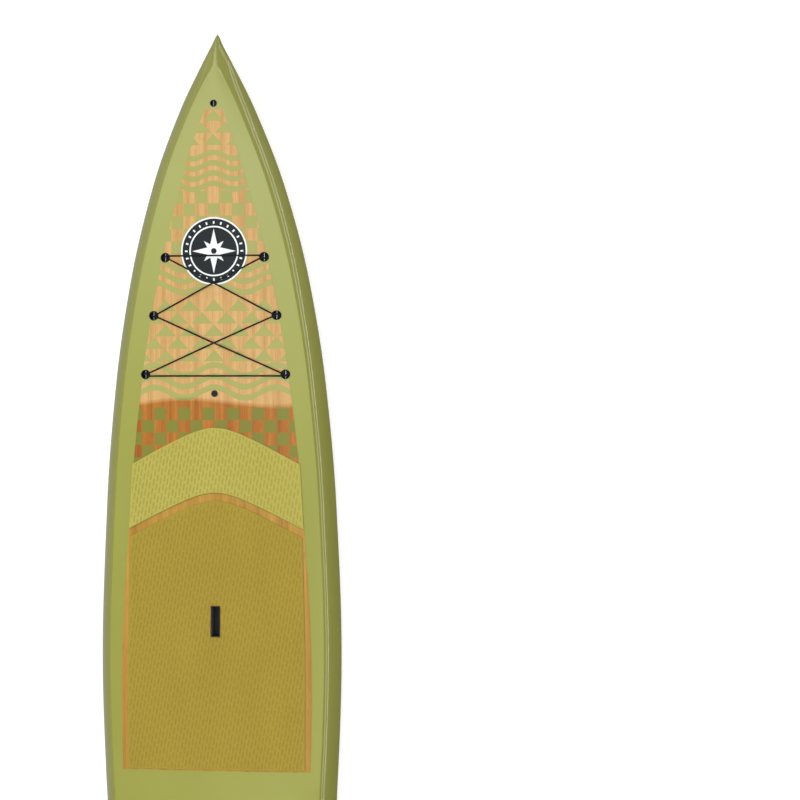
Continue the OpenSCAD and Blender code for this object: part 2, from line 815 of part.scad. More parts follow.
// For each stop: the side the cord enters on, and whether the run after it crosses on top
cord_stops = [[-1, false], [1, true], [1, true], [1, false], [-1, false], [-1, false]];
function stop_point(k, w) =
    let (spot = plug_spots[cord_order[k]])
    [spot[0] + inward(spot) * w[0], spot[1] - cord_stops[k][0] * w[1]];
function stop_exit(k) = stop_point(k, cord_wrap[len(cord_wrap) - 1]);
function stop_entry(k) = stop_point(k, cord_wrap[0]);
cord_route = [
    for (k = [0 : plug_count - 1]) each concat(
        wrap_points(plug_spots[cord_order[k]], cord_stops[k][0]),
        run_points(stop_exit(k), stop_entry((k + 1) % plug_count), cord_stops[k][1])
    )
];

function unit(v) = v / norm(v);
// Closed tube round a loop of points
module loop_tube(route, r, sides) {
    count = len(route);
    ring = function(i) let (
            ahead = unit(route[(i + 1) % count] - route[(i + count - 1) % count]),
            across = unit(cross(ahead, abs(ahead[2]) > 0.9 ? [0, 1, 0] : [0, 0, 1])),
            over = cross(across, ahead)
        ) [
            for (k = [0 : sides - 1])
                let (a = k * 360 / sides) route[i] + r * (across * cos(a) + over * sin(a))
        ];
    polyhedron(
        points = [for (i = [0 : count - 1]) each ring(i)],
        faces = [
            for (i = [0 : count - 1]) for (k = [0 : sides - 1])
                let (a = i * sides, b = ((i + 1) % count) * sides, m = (k + 1) % sides)
                each quad(a + k, a + m, b + m, b + k)
        ]
    );
}

module bungee_cord() {
    color(black_plastic) loop_tube(cord_route, cord_d / 2, cord_sides);
}

// ---- Vent ----

// Vent plug with a counterbore for the screw's head and a bore for its shank
module vent_body() {
    color(black_plastic)
    on_vent()
    difference() {
        translate([0, 0, -plug_h]) cylinder(h = plug_h + plug_proud, d = vent_d, $fn = 64);
        translate([0, 0, vent_floor]) cylinder(h = 20, r = vent_head_r + 0.4, $fn = 64);
        translate([0, 0, -plug_h + 1.5]) cylinder(h = plug_h, r = vent_bore_r, $fn = 48);
    }
}
module on_vent() {
    translate([0, y_of(vent_at), deck_mid(vent_at)]) children();
}

module vent_screw() {
    head_z = vent_floor + 2 * ring_wire_r + 0.1;
    color(black_plastic)
    on_vent()
    difference() {
        union() {
            translate([0, 0, head_z]) cylinder(h = vent_head_h, r = vent_head_r, $fn = 64);
            translate([0, 0, head_z - vent_shank_l])
            cylinder(h = vent_shank_l + 1, r = vent_bore_r - vent_clear, $fn = 48);
        }
        translate([-6, -0.9, head_z + vent_head_h - 1.6]) cube([12, 1.8, 5]);
    }
}

module vent_o_ring() {
    color(black_plastic)
    on_vent()
    translate([0, 0, vent_floor + ring_wire_r + 0.05])
    rotate_extrude($fn = 48)
    translate([ring_r - ring_wire_r, 0]) circle(r = ring_wire_r, $fn = 16);
}

core_left();
core_right();
stringer();
handle_block();
fin_block();
deck_shell();
bottom_shell();
deck_veneer_front();
deck_veneer_tail();
bottom_veneer();
front_pad();
main_pad();
tail_pad();
kick_bar();
handle_cup();
handle_grip();
for (i = [1 : plug_count]) bungee_plug(i);
for (i = [1 : plug_count]) bungee_pin(i);
bungee_cord();
vent_body();
vent_screw();
vent_o_ring();
tow_plug();
tow_pin();
leash_plug();
leash_pin();
fin_box();
deck_badge();
rail_badge_right();
rail_badge_left();
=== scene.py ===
"""A touring stand up paddleboard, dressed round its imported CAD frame.

Everything is in metres in the CAD's own frame: +Y to the nose, +X to the rider's right, +Z up.
A "station" is a distance back from the nose tip.
"""
import math

import bpy
import numpy as np
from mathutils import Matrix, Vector


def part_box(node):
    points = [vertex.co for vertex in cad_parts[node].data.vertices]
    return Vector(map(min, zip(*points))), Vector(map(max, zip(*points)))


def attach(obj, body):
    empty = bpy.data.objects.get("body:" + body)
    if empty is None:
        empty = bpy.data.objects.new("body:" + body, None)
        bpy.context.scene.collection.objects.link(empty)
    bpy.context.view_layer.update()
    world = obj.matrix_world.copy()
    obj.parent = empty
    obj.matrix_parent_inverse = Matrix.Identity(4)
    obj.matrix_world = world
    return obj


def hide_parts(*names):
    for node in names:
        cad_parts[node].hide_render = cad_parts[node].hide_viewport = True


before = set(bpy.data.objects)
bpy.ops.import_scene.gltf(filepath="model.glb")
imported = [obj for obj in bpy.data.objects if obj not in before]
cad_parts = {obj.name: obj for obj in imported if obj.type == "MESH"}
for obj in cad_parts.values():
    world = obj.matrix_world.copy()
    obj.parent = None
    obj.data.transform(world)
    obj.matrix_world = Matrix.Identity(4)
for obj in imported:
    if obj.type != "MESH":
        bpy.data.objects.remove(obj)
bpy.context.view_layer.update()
BOARD = "board"


# ---- Places taken from the frame ----

def centre_of(node):
    low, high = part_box(node)
    return (Vector(low) + Vector(high)) / 2


hull_low, hull_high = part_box("deck_shell")
BOARD_L = hull_high[1] - hull_low[1]
HALF_W = 0.4
NOSE_Y = hull_high[1]


def station_of(node):
    return NOSE_Y - centre_of(node).y


def ends_of(node):
    """Stations of a node's front and rear ends."""
    low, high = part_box(node)
    return NOSE_Y - high[1], NOSE_Y - low[1]


# ---- The hull's surface: the same design curves as the CAD's ----

HALF_WIDTH_KNOTS = [
    (0, 0.008), (0.0073, 0.037), (0.023, 0.115), (0.063, 0.305), (0.13, 0.55), (0.21, 0.745), (0.30, 0.878),
    (0.40, 0.958), (0.53, 1), (0.66, 0.957), (0.78, 0.855), (0.88, 0.735), (0.95, 0.602), (1, 0.49),
]
ROCKER_KNOTS = [
    (0, 0.108), (0.057, 0.078), (0.12, 0.058), (0.20, 0.037), (0.28, 0.021), (0.364, 0.010),
    (0.445, 0.002), (0.485, 0), (0.67, 0), (0.77, 0.008), (0.86, 0.017), (0.936, 0.027), (1, 0.039),
]
DECK_KNOTS = [
    (0, 0.122), (0.016, 0.148), (0.037, 0.162), (0.06, 0.172), (0.098, 0.177), (0.16, 0.168),
    (0.24, 0.162), (0.32, 0.154), (0.405, 0.143), (0.50, 0.138), (0.61, 0.140), (0.632, 0.142),
    (0.644, 0.148), (0.658, 0.160), (0.672, 0.172), (0.70, 0.175), (0.90, 0.178), (0.98, 0.178),
    (1, 0.175),
]
CROWN_KNOTS = [
    (0, 0.004), (0.04, 0.010), (0.13, 0.018), (0.24, 0.020), (0.32, 0.017), (0.405, 0.012),
    (0.50, 0.010), (0.632, 0.013), (0.672, 0.044), (0.74, 0.044), (0.80, 0.038), (0.855, 0.028),
    (0.92, 0.019), (0.97, 0.009), (1, 0.006),
]
DECK_BORDER_KNOTS = [
    (0, 0.096), (0.066, 0.098), (0.154, 0.110), (0.33, 0.103), (0.62, 0.078), (0.85, 0.064), (1, 0.060),
]
BOTTOM_BORDER_KNOTS = [
    (0, 0.088), (0.047, 0.092), (0.50, 0.092), (0.61, 0.082), (0.72, 0.068), (0.83, 0.061),
    (0.91, 0.059), (1, 0.062),
]
DECK_RAIL_W = 0.046
BOTTOM_RAIL_W = 0.050
DECK_RAIL_POWER = 1.35
BOTTOM_RAIL_POWER = 1.6
RAIL_SHARE = 0.45
RAIL_SHARE_AT_NOSE = 0.85
LEAST_FLAT = 0.0004
NOSE_ROUND = 0.014
CORNER_ROUND = 0.028
BOTTOM_EDGE_ROUND = 0.025
DECK_EDGE_ROUND = 0.010
SKIN_T = 0.003
VENEER_TOP = 0.00095
PAD_UNDER = 0.0013
PAD_TOP = 0.0063


def curve(knots, share):
    """A smooth curve through knots that never overshoots them."""
    at, value = np.array(knots, dtype=float).T
    rise = np.diff(value) / np.diff(at)
    before, after = rise[:-1], rise[1:]
    product = before * after
    inner = np.where(product > 0, 2 * product / np.where(before + after == 0, 1, before + after), 0)
    slope = np.concatenate([rise[:1], inner, rise[-1:]])
    share = np.asarray(share, dtype=float)
    i = np.clip(np.searchsorted(at, share) - 1, 0, len(at) - 2)
    h = at[i + 1] - at[i]
    t = (share - at[i]) / h
    bends = h * t * (1 - t) * (slope[i] * (1 - t) - slope[i + 1] * t)
    return value[i] * (1 + 2 * t) * (1 - t) ** 2 + value[i + 1] * t * t * (3 - 2 * t) + bends


def along(d):
    return np.clip(np.asarray(d, dtype=float) / BOARD_L, 0, 1)


def y_of(d):
    return NOSE_Y - d


def nose_factor(d):
    return np.sqrt(np.clip(1 - np.clip(1 - np.asarray(d) / NOSE_ROUND, 0, 1) ** 2, 0.04, 1))


def tail_inset(d, radius):
    past = np.clip((np.asarray(d) - BOARD_L + CORNER_ROUND) / CORNER_ROUND, 0, 1)
    return radius * (1 - np.sqrt(1 - past**2))


def half_width(d):
    return HALF_W * curve(HALF_WIDTH_KNOTS, along(d)) * nose_factor(d) - tail_inset(d, CORNER_ROUND)


def raw_bottom(d):
    return curve(ROCKER_KNOTS, along(d)) + VENEER_TOP


def raw_deck(d):
    return curve(DECK_KNOTS, along(d))


def rail_z(d):
    crease = raw_deck(d) - curve(CROWN_KNOTS, along(d))
    return raw_bottom(d) + RAIL_SHARE * (crease - raw_bottom(d))


def toward_rail(d, z, radius):
    middle = rail_z(d)
    return middle + (z - middle) * nose_factor(d) - np.sign(z - middle) * tail_inset(d, radius)


def bottom_mid(d):
    return toward_rail(d, raw_bottom(d), BOTTOM_EDGE_ROUND)


def deck_mid(d):
    return toward_rail(d, raw_deck(d), DECK_EDGE_ROUND)


def deck_crease(d):
    return toward_rail(d, raw_deck(d) - curve(CROWN_KNOTS, along(d)), DECK_EDGE_ROUND)


def flat_within(half, rail_w, inset):
    return np.maximum(LEAST_FLAT, half - inset - np.minimum(rail_w, RAIL_SHARE_AT_NOSE * half))


def deck_flat(d, inset=0.0):
    return flat_within(half_width(d), DECK_RAIL_W, inset)


def bottom_flat(d, inset=0.0):
    return flat_within(half_width(d), BOTTOM_RAIL_W, inset)


def rail_drop(share, power):
    return (1 - np.clip(share, 0, 1) ** power) ** (1 / power)


def deck_z(d, x):
    x, flat = np.abs(x), deck_flat(d)
    dome = deck_mid(d) - (deck_mid(d) - deck_crease(d)) * (np.minimum(x, flat) / flat) ** 2
    drop = rail_drop((x - flat) / (half_width(d) - flat), DECK_RAIL_POWER)
    return np.where(x <= flat, dome, rail_z(d) + (deck_crease(d) - rail_z(d)) * drop)


def bottom_z(d, x):
    x, flat = np.abs(x), bottom_flat(d)
    drop = rail_drop((x - flat) / (half_width(d) - flat), BOTTOM_RAIL_POWER)
    return np.where(x <= flat, bottom_mid(d), rail_z(d) - (rail_z(d) - bottom_mid(d)) * drop)


def rail_x(d, z):
    """Distance of the rail from the centre line at a height z."""
    above = rail_drop((z - rail_z(d)) / (deck_crease(d) - rail_z(d)), DECK_RAIL_POWER)
    below = rail_drop((rail_z(d) - z) / (rail_z(d) - bottom_mid(d)), BOTTOM_RAIL_POWER)
    upper = deck_flat(d) + (half_width(d) - deck_flat(d)) * above
    lower = bottom_flat(d) + (half_width(d) - bottom_flat(d)) * below
    return np.where(z > rail_z(d), upper, lower)


FLAT_PARTS = 18
RAIL_PARTS = 18


def section(d, side, inset):
    """One row of the hull's surface from the left rail to the right, for each station in d."""
    d = np.asarray(d, dtype=float)[:, None]
    share = np.concatenate([np.linspace(0, 1, FLAT_PARTS + 1), np.ones(RAIL_PARTS)])
    turns = np.linspace(0, 1, RAIL_PARTS + 1)[1:] * math.pi / 2
    angle = np.concatenate([np.zeros(FLAT_PARTS + 1), turns])
    deck = side > 0
    flat = deck_flat(d, inset) if deck else bottom_flat(d, inset)
    power = DECK_RAIL_POWER if deck else BOTTOM_RAIL_POWER
    mid = deck_mid(d) - inset if deck else bottom_mid(d) + inset
    crease = deck_crease(d) - inset if deck else mid
    reach = half_width(d) - inset - flat
    x = flat * share + reach * np.sin(angle) ** (2 / power)
    rail = rail_z(d) + (crease - rail_z(d)) * np.clip(np.cos(angle), 0, 1) ** (2 / power)
    z = np.where(angle == 0, mid - (mid - crease) * share**2, rail)
    right = np.stack([x, np.broadcast_to(y_of(d), x.shape), z], axis=-1)
    left = right[:, :0:-1] * np.array([-1, 1, 1])
    return np.concatenate([left, right], axis=1)


# ---- Meshes from grids of points ----

def grid_faces(rows, cols, first=0, flip=False):
    i, j = np.meshgrid(np.arange(rows - 1), np.arange(cols - 1), indexing="ij")
    a = (first + i * cols + j).ravel()
    faces = np.stack([a, a + cols, a + cols + 1, a + 1], axis=1)
    return (faces[:, ::-1] if flip else faces).tolist()


def edge_loop(rows, cols, first=0):
    """The outer loop of a grid, in order round it."""
    front = [first + j for j in range(cols)]
    right = [first + i * cols + cols - 1 for i in range(1, rows)]
    rear = [first + (rows - 1) * cols + j for j in range(cols - 2, -1, -1)]
    left = [first + i * cols for i in range(rows - 2, 0, -1)]
    return front + right + rear + left


def band(loop_a, loop_b):
    count = len(loop_a)
    return [(loop_a[k], loop_a[(k + 1) % count], loop_b[(k + 1) % count], loop_b[k]) for k in range(count)]


def new_object(name, points, faces, material):
    mesh = bpy.data.meshes.new(name)
    mesh.from_pydata([tuple(p) for p in points], [], faces)
    mesh.validate()
    mesh.materials.append(material)
    made = bpy.data.objects.new(name, mesh)
    bpy.context.scene.collection.objects.link(made)
    return made


def smooth(piece, sharp_angle=40):
    piece.data.shade_smooth()
    piece.data.set_sharp_from_angle(angle=math.radians(sharp_angle))
    return piece


def layer(name, upper, lower, material):
    """A closed layer between two grids with the same rows and columns."""
    rows, cols = upper.shape[:2]
    count = rows * cols
    points = np.concatenate([upper.reshape(-1, 3), lower.reshape(-1, 3)])
    faces = grid_faces(rows, cols)
    faces += grid_faces(rows, cols, count, flip=True)
    faces += band(edge_loop(rows, cols), edge_loop(rows, cols, count))
    return smooth(new_object(name, points, faces, material))


def give_modifier(piece, kind, **settings):
    made = piece.modifiers.new(kind.title(), kind)
    for key, value in settings.items():
        setattr(made, key, value)
    return made


def apply_modifiers(piece):
    """Replaces a piece's mesh by what its modifiers make of it."""
    bpy.context.view_layer.update()
    shown = piece.evaluated_get(bpy.context.evaluated_depsgraph_get())
    piece.data = bpy.data.meshes.new_from_object(shown)
    piece.modifiers.clear()


def cut(piece, cutter, sharp_angle=40):
    give_modifier(piece, "BOOLEAN", operation="DIFFERENCE", solver="EXACT", object=cutter)
    apply_modifiers(piece)
    smooth(piece, sharp_angle)


def discard(piece):
    bpy.data.objects.remove(piece, do_unlink=True)


def soften(piece, width, segments=2, angle=35):
    """Rounds a piece's sharp edges; it keeps the mesh itself as it is."""
    give_modifier(piece, "BEVEL", width=width, segments=segments, limit_method="ANGLE",
                  angle_limit=math.radians(angle), harden_normals=True)
    return piece


def place(piece, slot, *nodes):
    """Lets a piece ride on the board and, where nodes are named, stand for them."""
    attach(piece, BOARD)
    if nodes:
        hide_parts(*nodes)
    return piece


# ---- Materials ----

class Field:
    """A number that varies over a surface. Python arithmetic on it adds Math nodes."""

    def __init__(self, tree, socket):
        self.tree, self.socket = tree, socket

    def math(self, operation, *others, clamp=False):
        node = self.tree.nodes.new("ShaderNodeMath")
        node.operation, node.use_clamp = operation, clamp
        for slot, value in zip(node.inputs, (self, *others)):
            if isinstance(value, Field):
                self.tree.links.new(value.socket, slot)
            else:
                slot.default_value = value
        return Field(self.tree, node.outputs[0])

    def __add__(self, other):
        return self.math("ADD", other)

    def __sub__(self, other):
        return self.math("SUBTRACT", other)

    def __mul__(self, other):
        return self.math("MULTIPLY", other)

    def __truediv__(self, other):
        return self.math("DIVIDE", other)

    def under(self, other):
        return self.math("LESS_THAN", other)

    def over(self, other):
        return self.math("GREATER_THAN", other)

    def within(self, low, high):
        return self.over(low) * self.under(high)

    def either(self, other):
        return self.math("MAXIMUM", other)

    def size(self):
        return self.math("ABSOLUTE")

    def clipped(self):
        return self.math("MAXIMUM", 0.0).math("MINIMUM", 1.0)


class Surface:
    """A node material with one Principled shader."""

    def __init__(self, name, **settings):
        self.material = bpy.data.materials.new(name)
        self.material.use_nodes = True
        self.tree = self.material.node_tree
        self.shader = self.tree.nodes["Principled BSDF"]
        self.place = self.tree.nodes.new("ShaderNodeTexCoord").outputs["Object"]
        self.set(**settings)

    def set(self, **settings):
        for key, value in settings.items():
            self.shader.inputs[key.replace("_", " ")].default_value = value

    def axes(self):
        """Object coordinates as three fields."""
        split = self.tree.nodes.new("ShaderNodeSeparateXYZ")
        self.tree.links.new(self.place, split.inputs[0])
        return [Field(self.tree, out) for out in split.outputs]

    def noise(self, scale, stretch=(1, 1, 1), detail=2.0, roughness=0.5):
        mapping = self.tree.nodes.new("ShaderNodeMapping")
        mapping.inputs["Scale"].default_value = stretch
        node = self.tree.nodes.new("ShaderNodeTexNoise")
        node.inputs["Scale"].default_value = scale
        node.inputs["Detail"].default_value = detail
        node.inputs["Roughness"].default_value = roughness
        self.tree.links.new(self.place, mapping.inputs["Vector"])
        self.tree.links.new(mapping.outputs[0], node.inputs["Vector"])
        return Field(self.tree, node.outputs["Fac"])

    def attribute(self, name):
        node = self.tree.nodes.new("ShaderNodeAttribute")
        node.attribute_name = name
        return Field(self.tree, node.outputs["Fac"])

    def ramp(self, field, *stops):
        node = self.tree.nodes.new("ShaderNodeValToRGB")
        marks = node.color_ramp.elements
        while len(marks) < len(stops):
            marks.new(0.5)
        for mark, (at, colour) in zip(marks, stops):
            mark.position, mark.color = at, rgba(colour)
        self.tree.links.new(field.socket, node.inputs[0])
        return node.outputs["Color"]

    def mix(self, factor, first, second):
        node = self.tree.nodes.new("ShaderNodeMix")
        node.data_type = "RGBA"
        sockets = (node.inputs[0], node.inputs[6], node.inputs[7])
        for socket, value in zip(sockets, (factor, first, second)):
            if isinstance(value, Field):
                self.tree.links.new(value.socket, socket)
            elif isinstance(value, str):
                socket.default_value = rgba(value)
            elif isinstance(value, float):
                socket.default_value = value
            else:
                self.tree.links.new(value, socket)
        return node.outputs[2]

    def colour(self, socket):
        self.tree.links.new(socket, self.shader.inputs["Base Color"])

    def roughness(self, field, low, high):
        spread = field * (high - low) + low
        self.tree.links.new(spread.socket, self.shader.inputs["Roughness"])

    def bump(self, field, depth, strength=0.6):
        node = self.tree.nodes.new("ShaderNodeBump")
        node.inputs["Strength"].default_value = strength
        node.inputs["Distance"].default_value = depth
        self.tree.links.new(field.socket, node.inputs["Height"])
        self.tree.links.new(node.outputs[0], self.shader.inputs["Normal"])


def rgba(code):
    """A colour written as six hexadecimal digits, as linear light."""
    parts = [int(code[i:i + 2], 16) / 255 for i in (0, 2, 4)]
    return tuple(p / 12.92 if p <= 0.04045 else ((p + 0.055) / 1.055) ** 2.4 for p in parts) + (1.0,)


# A painted reflection: forward of this station the paint and the deck's wood are painted paler, fading in
# over the next length, and the paint takes this share of it.
PAINTED_SHEEN_END = 1.190
PAINTED_SHEEN_FADE = 0.1
PAINTED_SHEEN_COVER = 1.2
# How far the rails are painted towards a darker olive, as painted shade.
RAIL_SHADE_COVER = 0.75
SPECK_COVER = 0.12
GLOSS = dict(Roughness=0.36, Coat_Weight=0.8, Coat_Roughness=0.02, Coat_IOR=1.38, Specular_IOR_Level=0.12)


def olive_paint():
    """Painted rail and border under a thick clear coat; paler towards the nose as a painted reflection,
    darker on the rails as painted shade.
    """
    made = Surface("olive_paint", **GLOSS)
    cloud = made.noise(2.2, (1, 0.5, 1), detail=3)
    speck = made.noise(900, detail=1)
    base = made.ramp(cloud, (0.3, "92933e"), (0.7, "9b9c49"))
    _, y, _ = made.axes()
    # Forward of the station the paint turns paler: a painted reflection of an overhead softbox.
    sheen_zone = (y - (NOSE_Y - PAINTED_SHEEN_END) + PAINTED_SHEEN_FADE).clipped()
    sheened = made.mix(sheen_zone * PAINTED_SHEEN_COVER, base, "a6a965")
    # The rails are painted darker olive: painted shade where the rail turns away from the light.
    rail_shaded = made.mix(made.attribute("rail") * RAIL_SHADE_COVER, sheened, "7f7f34")
    made.colour(made.mix(speck * SPECK_COVER, rail_shaded, "7f8238"))
    made.roughness(cloud, 0.30, 0.40)
    return made.material


class Bamboo:
    """Bamboo strips: broad strips, long grain and short dark flecks, all lengthwise."""

    def __init__(self, made):
        self.made = made
        strips = made.noise(1.0, (46, 0.9, 1), detail=1)
        self.grain = made.noise(1.0, (420, 5, 1), detail=3, roughness=0.6)
        flecks = made.noise(1.0, (620, 26, 1), detail=2)
        self.tone = strips * 0.55 + self.grain * 0.45
        self.short_flecks = ((flecks - 0.60) * 4.5).clipped()

    def colour(self, dark, middle, light, fleck):
        wood = self.made.ramp(self.tone, (0.33, dark), (0.5, middle), (0.68, light))
        return self.made.mix(self.short_flecks, wood, fleck)


TRIANGLE_SLOPE = 0.93
TRIANGLE_TIP_GAP = 0.03
TRIANGLE_BASE = 0.95
WAVE_SHARE = 0.54
ODD_LIMIT = 0.25


def triangle_rows(x, d, start, rows, cell):
    """Rows of triangles that point to the nose, each row half a triangle aside of the last."""
    v = (d - start) / cell
    row = v.math("FLOOR")
    u = (x / (2 * cell) + row * 0.5 + 0.5).math("FRACT")
    rise = v.math("FRACT")
    inside = ((u - 0.5).size() * 2).under(rise * TRIANGLE_SLOPE - TRIANGLE_TIP_GAP)
    return inside * rise.under(TRIANGLE_BASE) * v.within(0, rows)


def wave_rows(x, d, start, rows, pitch, height=0.017, length=0.200):
    """Wavy bands, crest to the nose on the centre line."""
    swing = (x * (2 * math.pi / length)).math("COSINE") * height
    v = (d + swing - start) / pitch
    return v.math("FRACT").under(WAVE_SHARE) * v.within(0, rows)


def check_rows(x, d, start, rows, cell, shift=0.0):
    """Checkered rows; with a shift of half a cell a column lies on the centre line."""
    v = (d - start) / cell
    both = (x / cell + shift).math("FLOOR") + v.math("FLOOR")
    odd = (both * 0.5).math("FRACT").over(ODD_LIMIT)
    return odd * v.within(0, rows)


GOLDEN_START = 1.42
GOLDEN_STEEPNESS = 12
# The wavy edge where the painted reflection on the deck's wood ends: its steepness, waves, height and drift.
EDGE_STEEPNESS = 60
EDGE_WAVES = 11
EDGE_HEIGHT = 0.012
EDGE_DRIFT = 0.05
INK_COVER = 0.93
DECK_CELL = 0.0407
BOTTOM_CELL = 0.0425
WAVE_PITCH = 0.036


def deck_print(x, d):
    zones = [
        triangle_rows(x, d, 0.250, 3, 0.0390),
        wave_rows(x, d, 0.390, 4, 0.033, height=0.010, length=0.135),
        check_rows(x, d, 0.512, 5, DECK_CELL, shift=0.5),
        wave_rows(x, d, 0.742, 3, WAVE_PITCH),
        triangle_rows(x, d, 0.862, 5, DECK_CELL),
        wave_rows(x, d, 1.083, 3, WAVE_PITCH),
        check_rows(x, d, 1.213, 5, DECK_CELL),
        check_rows(x, d, 2.620, 6, DECK_CELL, shift=0.5),
        wave_rows(x, d, 3.240, 4, WAVE_PITCH),
        triangle_rows(x, d, 3.420, 5, DECK_CELL),
    ]
    return joined(zones)


def bottom_print(x, d):
    zones = [
        triangle_rows(x, d, 2.486, 5, BOTTOM_CELL),
        wave_rows(x, d, 2.716, 4, WAVE_PITCH),
        check_rows(x, d, 2.862, 5, 0.0434, shift=0.5),
        wave_rows(x, d, 3.105, 4, WAVE_PITCH),
        triangle_rows(x, d, 3.252, 5, BOTTOM_CELL),
        wave_rows(x, d, 3.480, 4, WAVE_PITCH),
        check_rows(x, d, 3.628, 2, 0.0450),
    ]
    return joined(zones)


def joined(zones):
    total = zones[0]
    for zone in zones[1:]:
        total = total.either(zone)
    return total


def deck_bamboo():
    """The deck's printed bamboo: painted paler up to a wavy edge near the front pad as a painted reflection,
    richer behind it.
    """
    made = Surface("deck_bamboo", **GLOSS)
    x, y, _ = made.axes()
    d = y * -1 + NOSE_Y
    bamboo = Bamboo(made)
    drift = made.noise(3.2, detail=1) * EDGE_DRIFT - EDGE_DRIFT / 2
    edge = (x * EDGE_WAVES).math("SINE") * EDGE_HEIGHT + drift + PAINTED_SHEEN_END
    rich = ((d - edge) * EDGE_STEEPNESS).clipped()
    golden = ((d - GOLDEN_START) * GOLDEN_STEEPNESS).clipped()
    # The paler wood and ink forward of the edge are a painted reflection; past it the colours are richer.
    sheened_wood = bamboo.colour("b98c50", "c89e62", "d6b178", "9f6e38")
    rich_wood = bamboo.colour("8e5018", "a9671f", "bd7e30", "6a380e")
    golden_wood = bamboo.colour("9a6f26", "ae8332", "c09540", "75501a")
    wood = made.mix(rich, sheened_wood, made.mix(golden, rich_wood, golden_wood))
    sheened_ink = made.mix(made.noise(3.0), "9a9c55", "a8a962")
    rich_ink = made.mix(made.noise(3.1), "74762a", "808231")
    ink = made.mix(rich, sheened_ink, rich_ink)
    made.colour(made.mix(deck_print(x, d) * INK_COVER, wood, ink))
    made.roughness(bamboo.grain, 0.30, 0.42)
    return made.material


def bottom_bamboo():
    """The bottom's printed bamboo, orange under its clear coat."""
    made = Surface("bottom_bamboo", **GLOSS)
    x, y, _ = made.axes()
    bamboo = Bamboo(made)
    wood = bamboo.colour("c27a30", "dc9a4c", "edb46a", "a3602a")
    ink = made.mix(made.noise(3.0), "a9ab4c", "b5b658")
    made.colour(made.mix(bottom_print(x, y * -1 + NOSE_Y) * INK_COVER, wood, ink))
    made.roughness(bamboo.grain, 0.30, 0.42)
    return made.material


GROOVE_SHADE = 0.62
PORE_SHADE = 0.35


def eva_foam(name, dark, light):
    """Closed-cell foam: matt, finely pored, with painted shade down in its grooves and on its sides, and a
    painted shadow line along a rear edge where one is asked for.
    """
    made = Surface(name, Roughness=0.88, Specular_IOR_Level=0.25, Sheen_Weight=0.15, Sheen_Roughness=0.5)
    pores = made.noise(1500, detail=2)
    cloud = made.noise(9, (1, 0.4, 1), detail=3)
    base = made.mix(cloud, dark, light)
    # Painted shade: the groove attribute darkens the foam in its grooves, on the pad's sides and along a rear
    # shadow line.
    shaded = made.mix(made.attribute("groove") * GROOVE_SHADE, base, "6a5f1e")
    made.colour(made.mix((pores - PORE_SHADE) * PORE_SHADE, shaded, light))
    made.bump(pores, 0.0004, 0.5)
    return made.material


def moulded_plastic(name, colour, shine=0.38, grain=700):
    made = Surface(name, Roughness=shine, Specular_IOR_Level=0.5)
    skin = made.noise(grain, detail=3)
    cloud = made.noise(60, detail=2)
    made.colour(made.mix(cloud * 0.5, colour, "1c1d1f"))
    made.roughness(cloud, shine - 0.08, shine + 0.1)
    made.bump(skin, 0.00012, 0.4)
    return made.material


def soft_rubber(name, colour):
    made = Surface(name, Roughness=0.72, Specular_IOR_Level=0.35, Sheen_Weight=0.1)
    skin = made.noise(1200, detail=2)
    made.colour(made.ramp(skin, (0.2, colour), (0.8, "2b2b2c")))
    made.bump(skin, 0.0002, 0.5)
    return made.material


def bright_steel():
    """Turned stainless steel with fine lengthwise lines."""
    made = Surface("steel", Metallic=1.0, Roughness=0.18)
    lines = made.noise(1.0, (2600, 90, 2600), detail=2)
    made.colour(made.ramp(lines, (0.2, "c4c6c8"), (0.8, "eceded")))
    made.roughness(lines, 0.12, 0.28)
    made.bump(lines, 0.00003, 0.4)
    return made.material


SHEATH_YARNS = 8
SHEATH_PITCH = 0.0052


def braided_sheath():
    """Woven polyester sheath of a bungee cord: crossing spirals of yarn."""
    made = Surface("cord", Roughness=0.7, Specular_IOR_Level=0.25, Sheen_Weight=0.05)
    turn, length = made.attribute("turn"), made.attribute("run")
    yarns, pitch = SHEATH_YARNS * 2 * math.pi, 2 * math.pi / SHEATH_PITCH
    one = (turn * yarns + length * pitch).math("SINE")
    other = (turn * yarns - length * pitch).math("SINE")
    weave = one * other * 0.5 + 0.5
    made.colour(made.ramp(weave, (0.1, "050505"), (0.75, "101011"), (1.0, "1c1c1e")))
    made.bump(weave, 0.00035, 0.8)
    return made.material


def foam_core(name, dark, light, scale):
    made = Surface(name, Roughness=0.9)
    beads = made.noise(scale, detail=2)
    made.colour(made.mix(beads, dark, light))
    made.bump(beads, 0.0006, 0.4)
    return made.material


def plain_wood(name):
    made = Surface(name, Roughness=0.6)
    bamboo = Bamboo(made)
    made.colour(bamboo.colour("9a6a34", "bd8a4c", "d8a968", "7a4d22"))
    made.bump(bamboo.grain, 0.0002, 0.4)
    return made.material


def star(u, v, reach, waist):
    """A four pointed star with straight edges: two crossed rhombi."""
    upright = (u.size() / waist + v.size() / reach).under(1)
    level = (u.size() / reach + v.size() / waist).under(1)
    return upright.either(level)


# The badge's measures, as shares of its radius: reach and waist of the points, hub, ring of ticks
LONG_POINTS = (0.66, 0.15)
SHORT_POINTS = (0.42, 0.13)
SLANT = 0.7071
HUB_R = 0.085
TICK_RING = (0.80, 0.88)
TICKS = 24
TICK_SHARE = 0.22


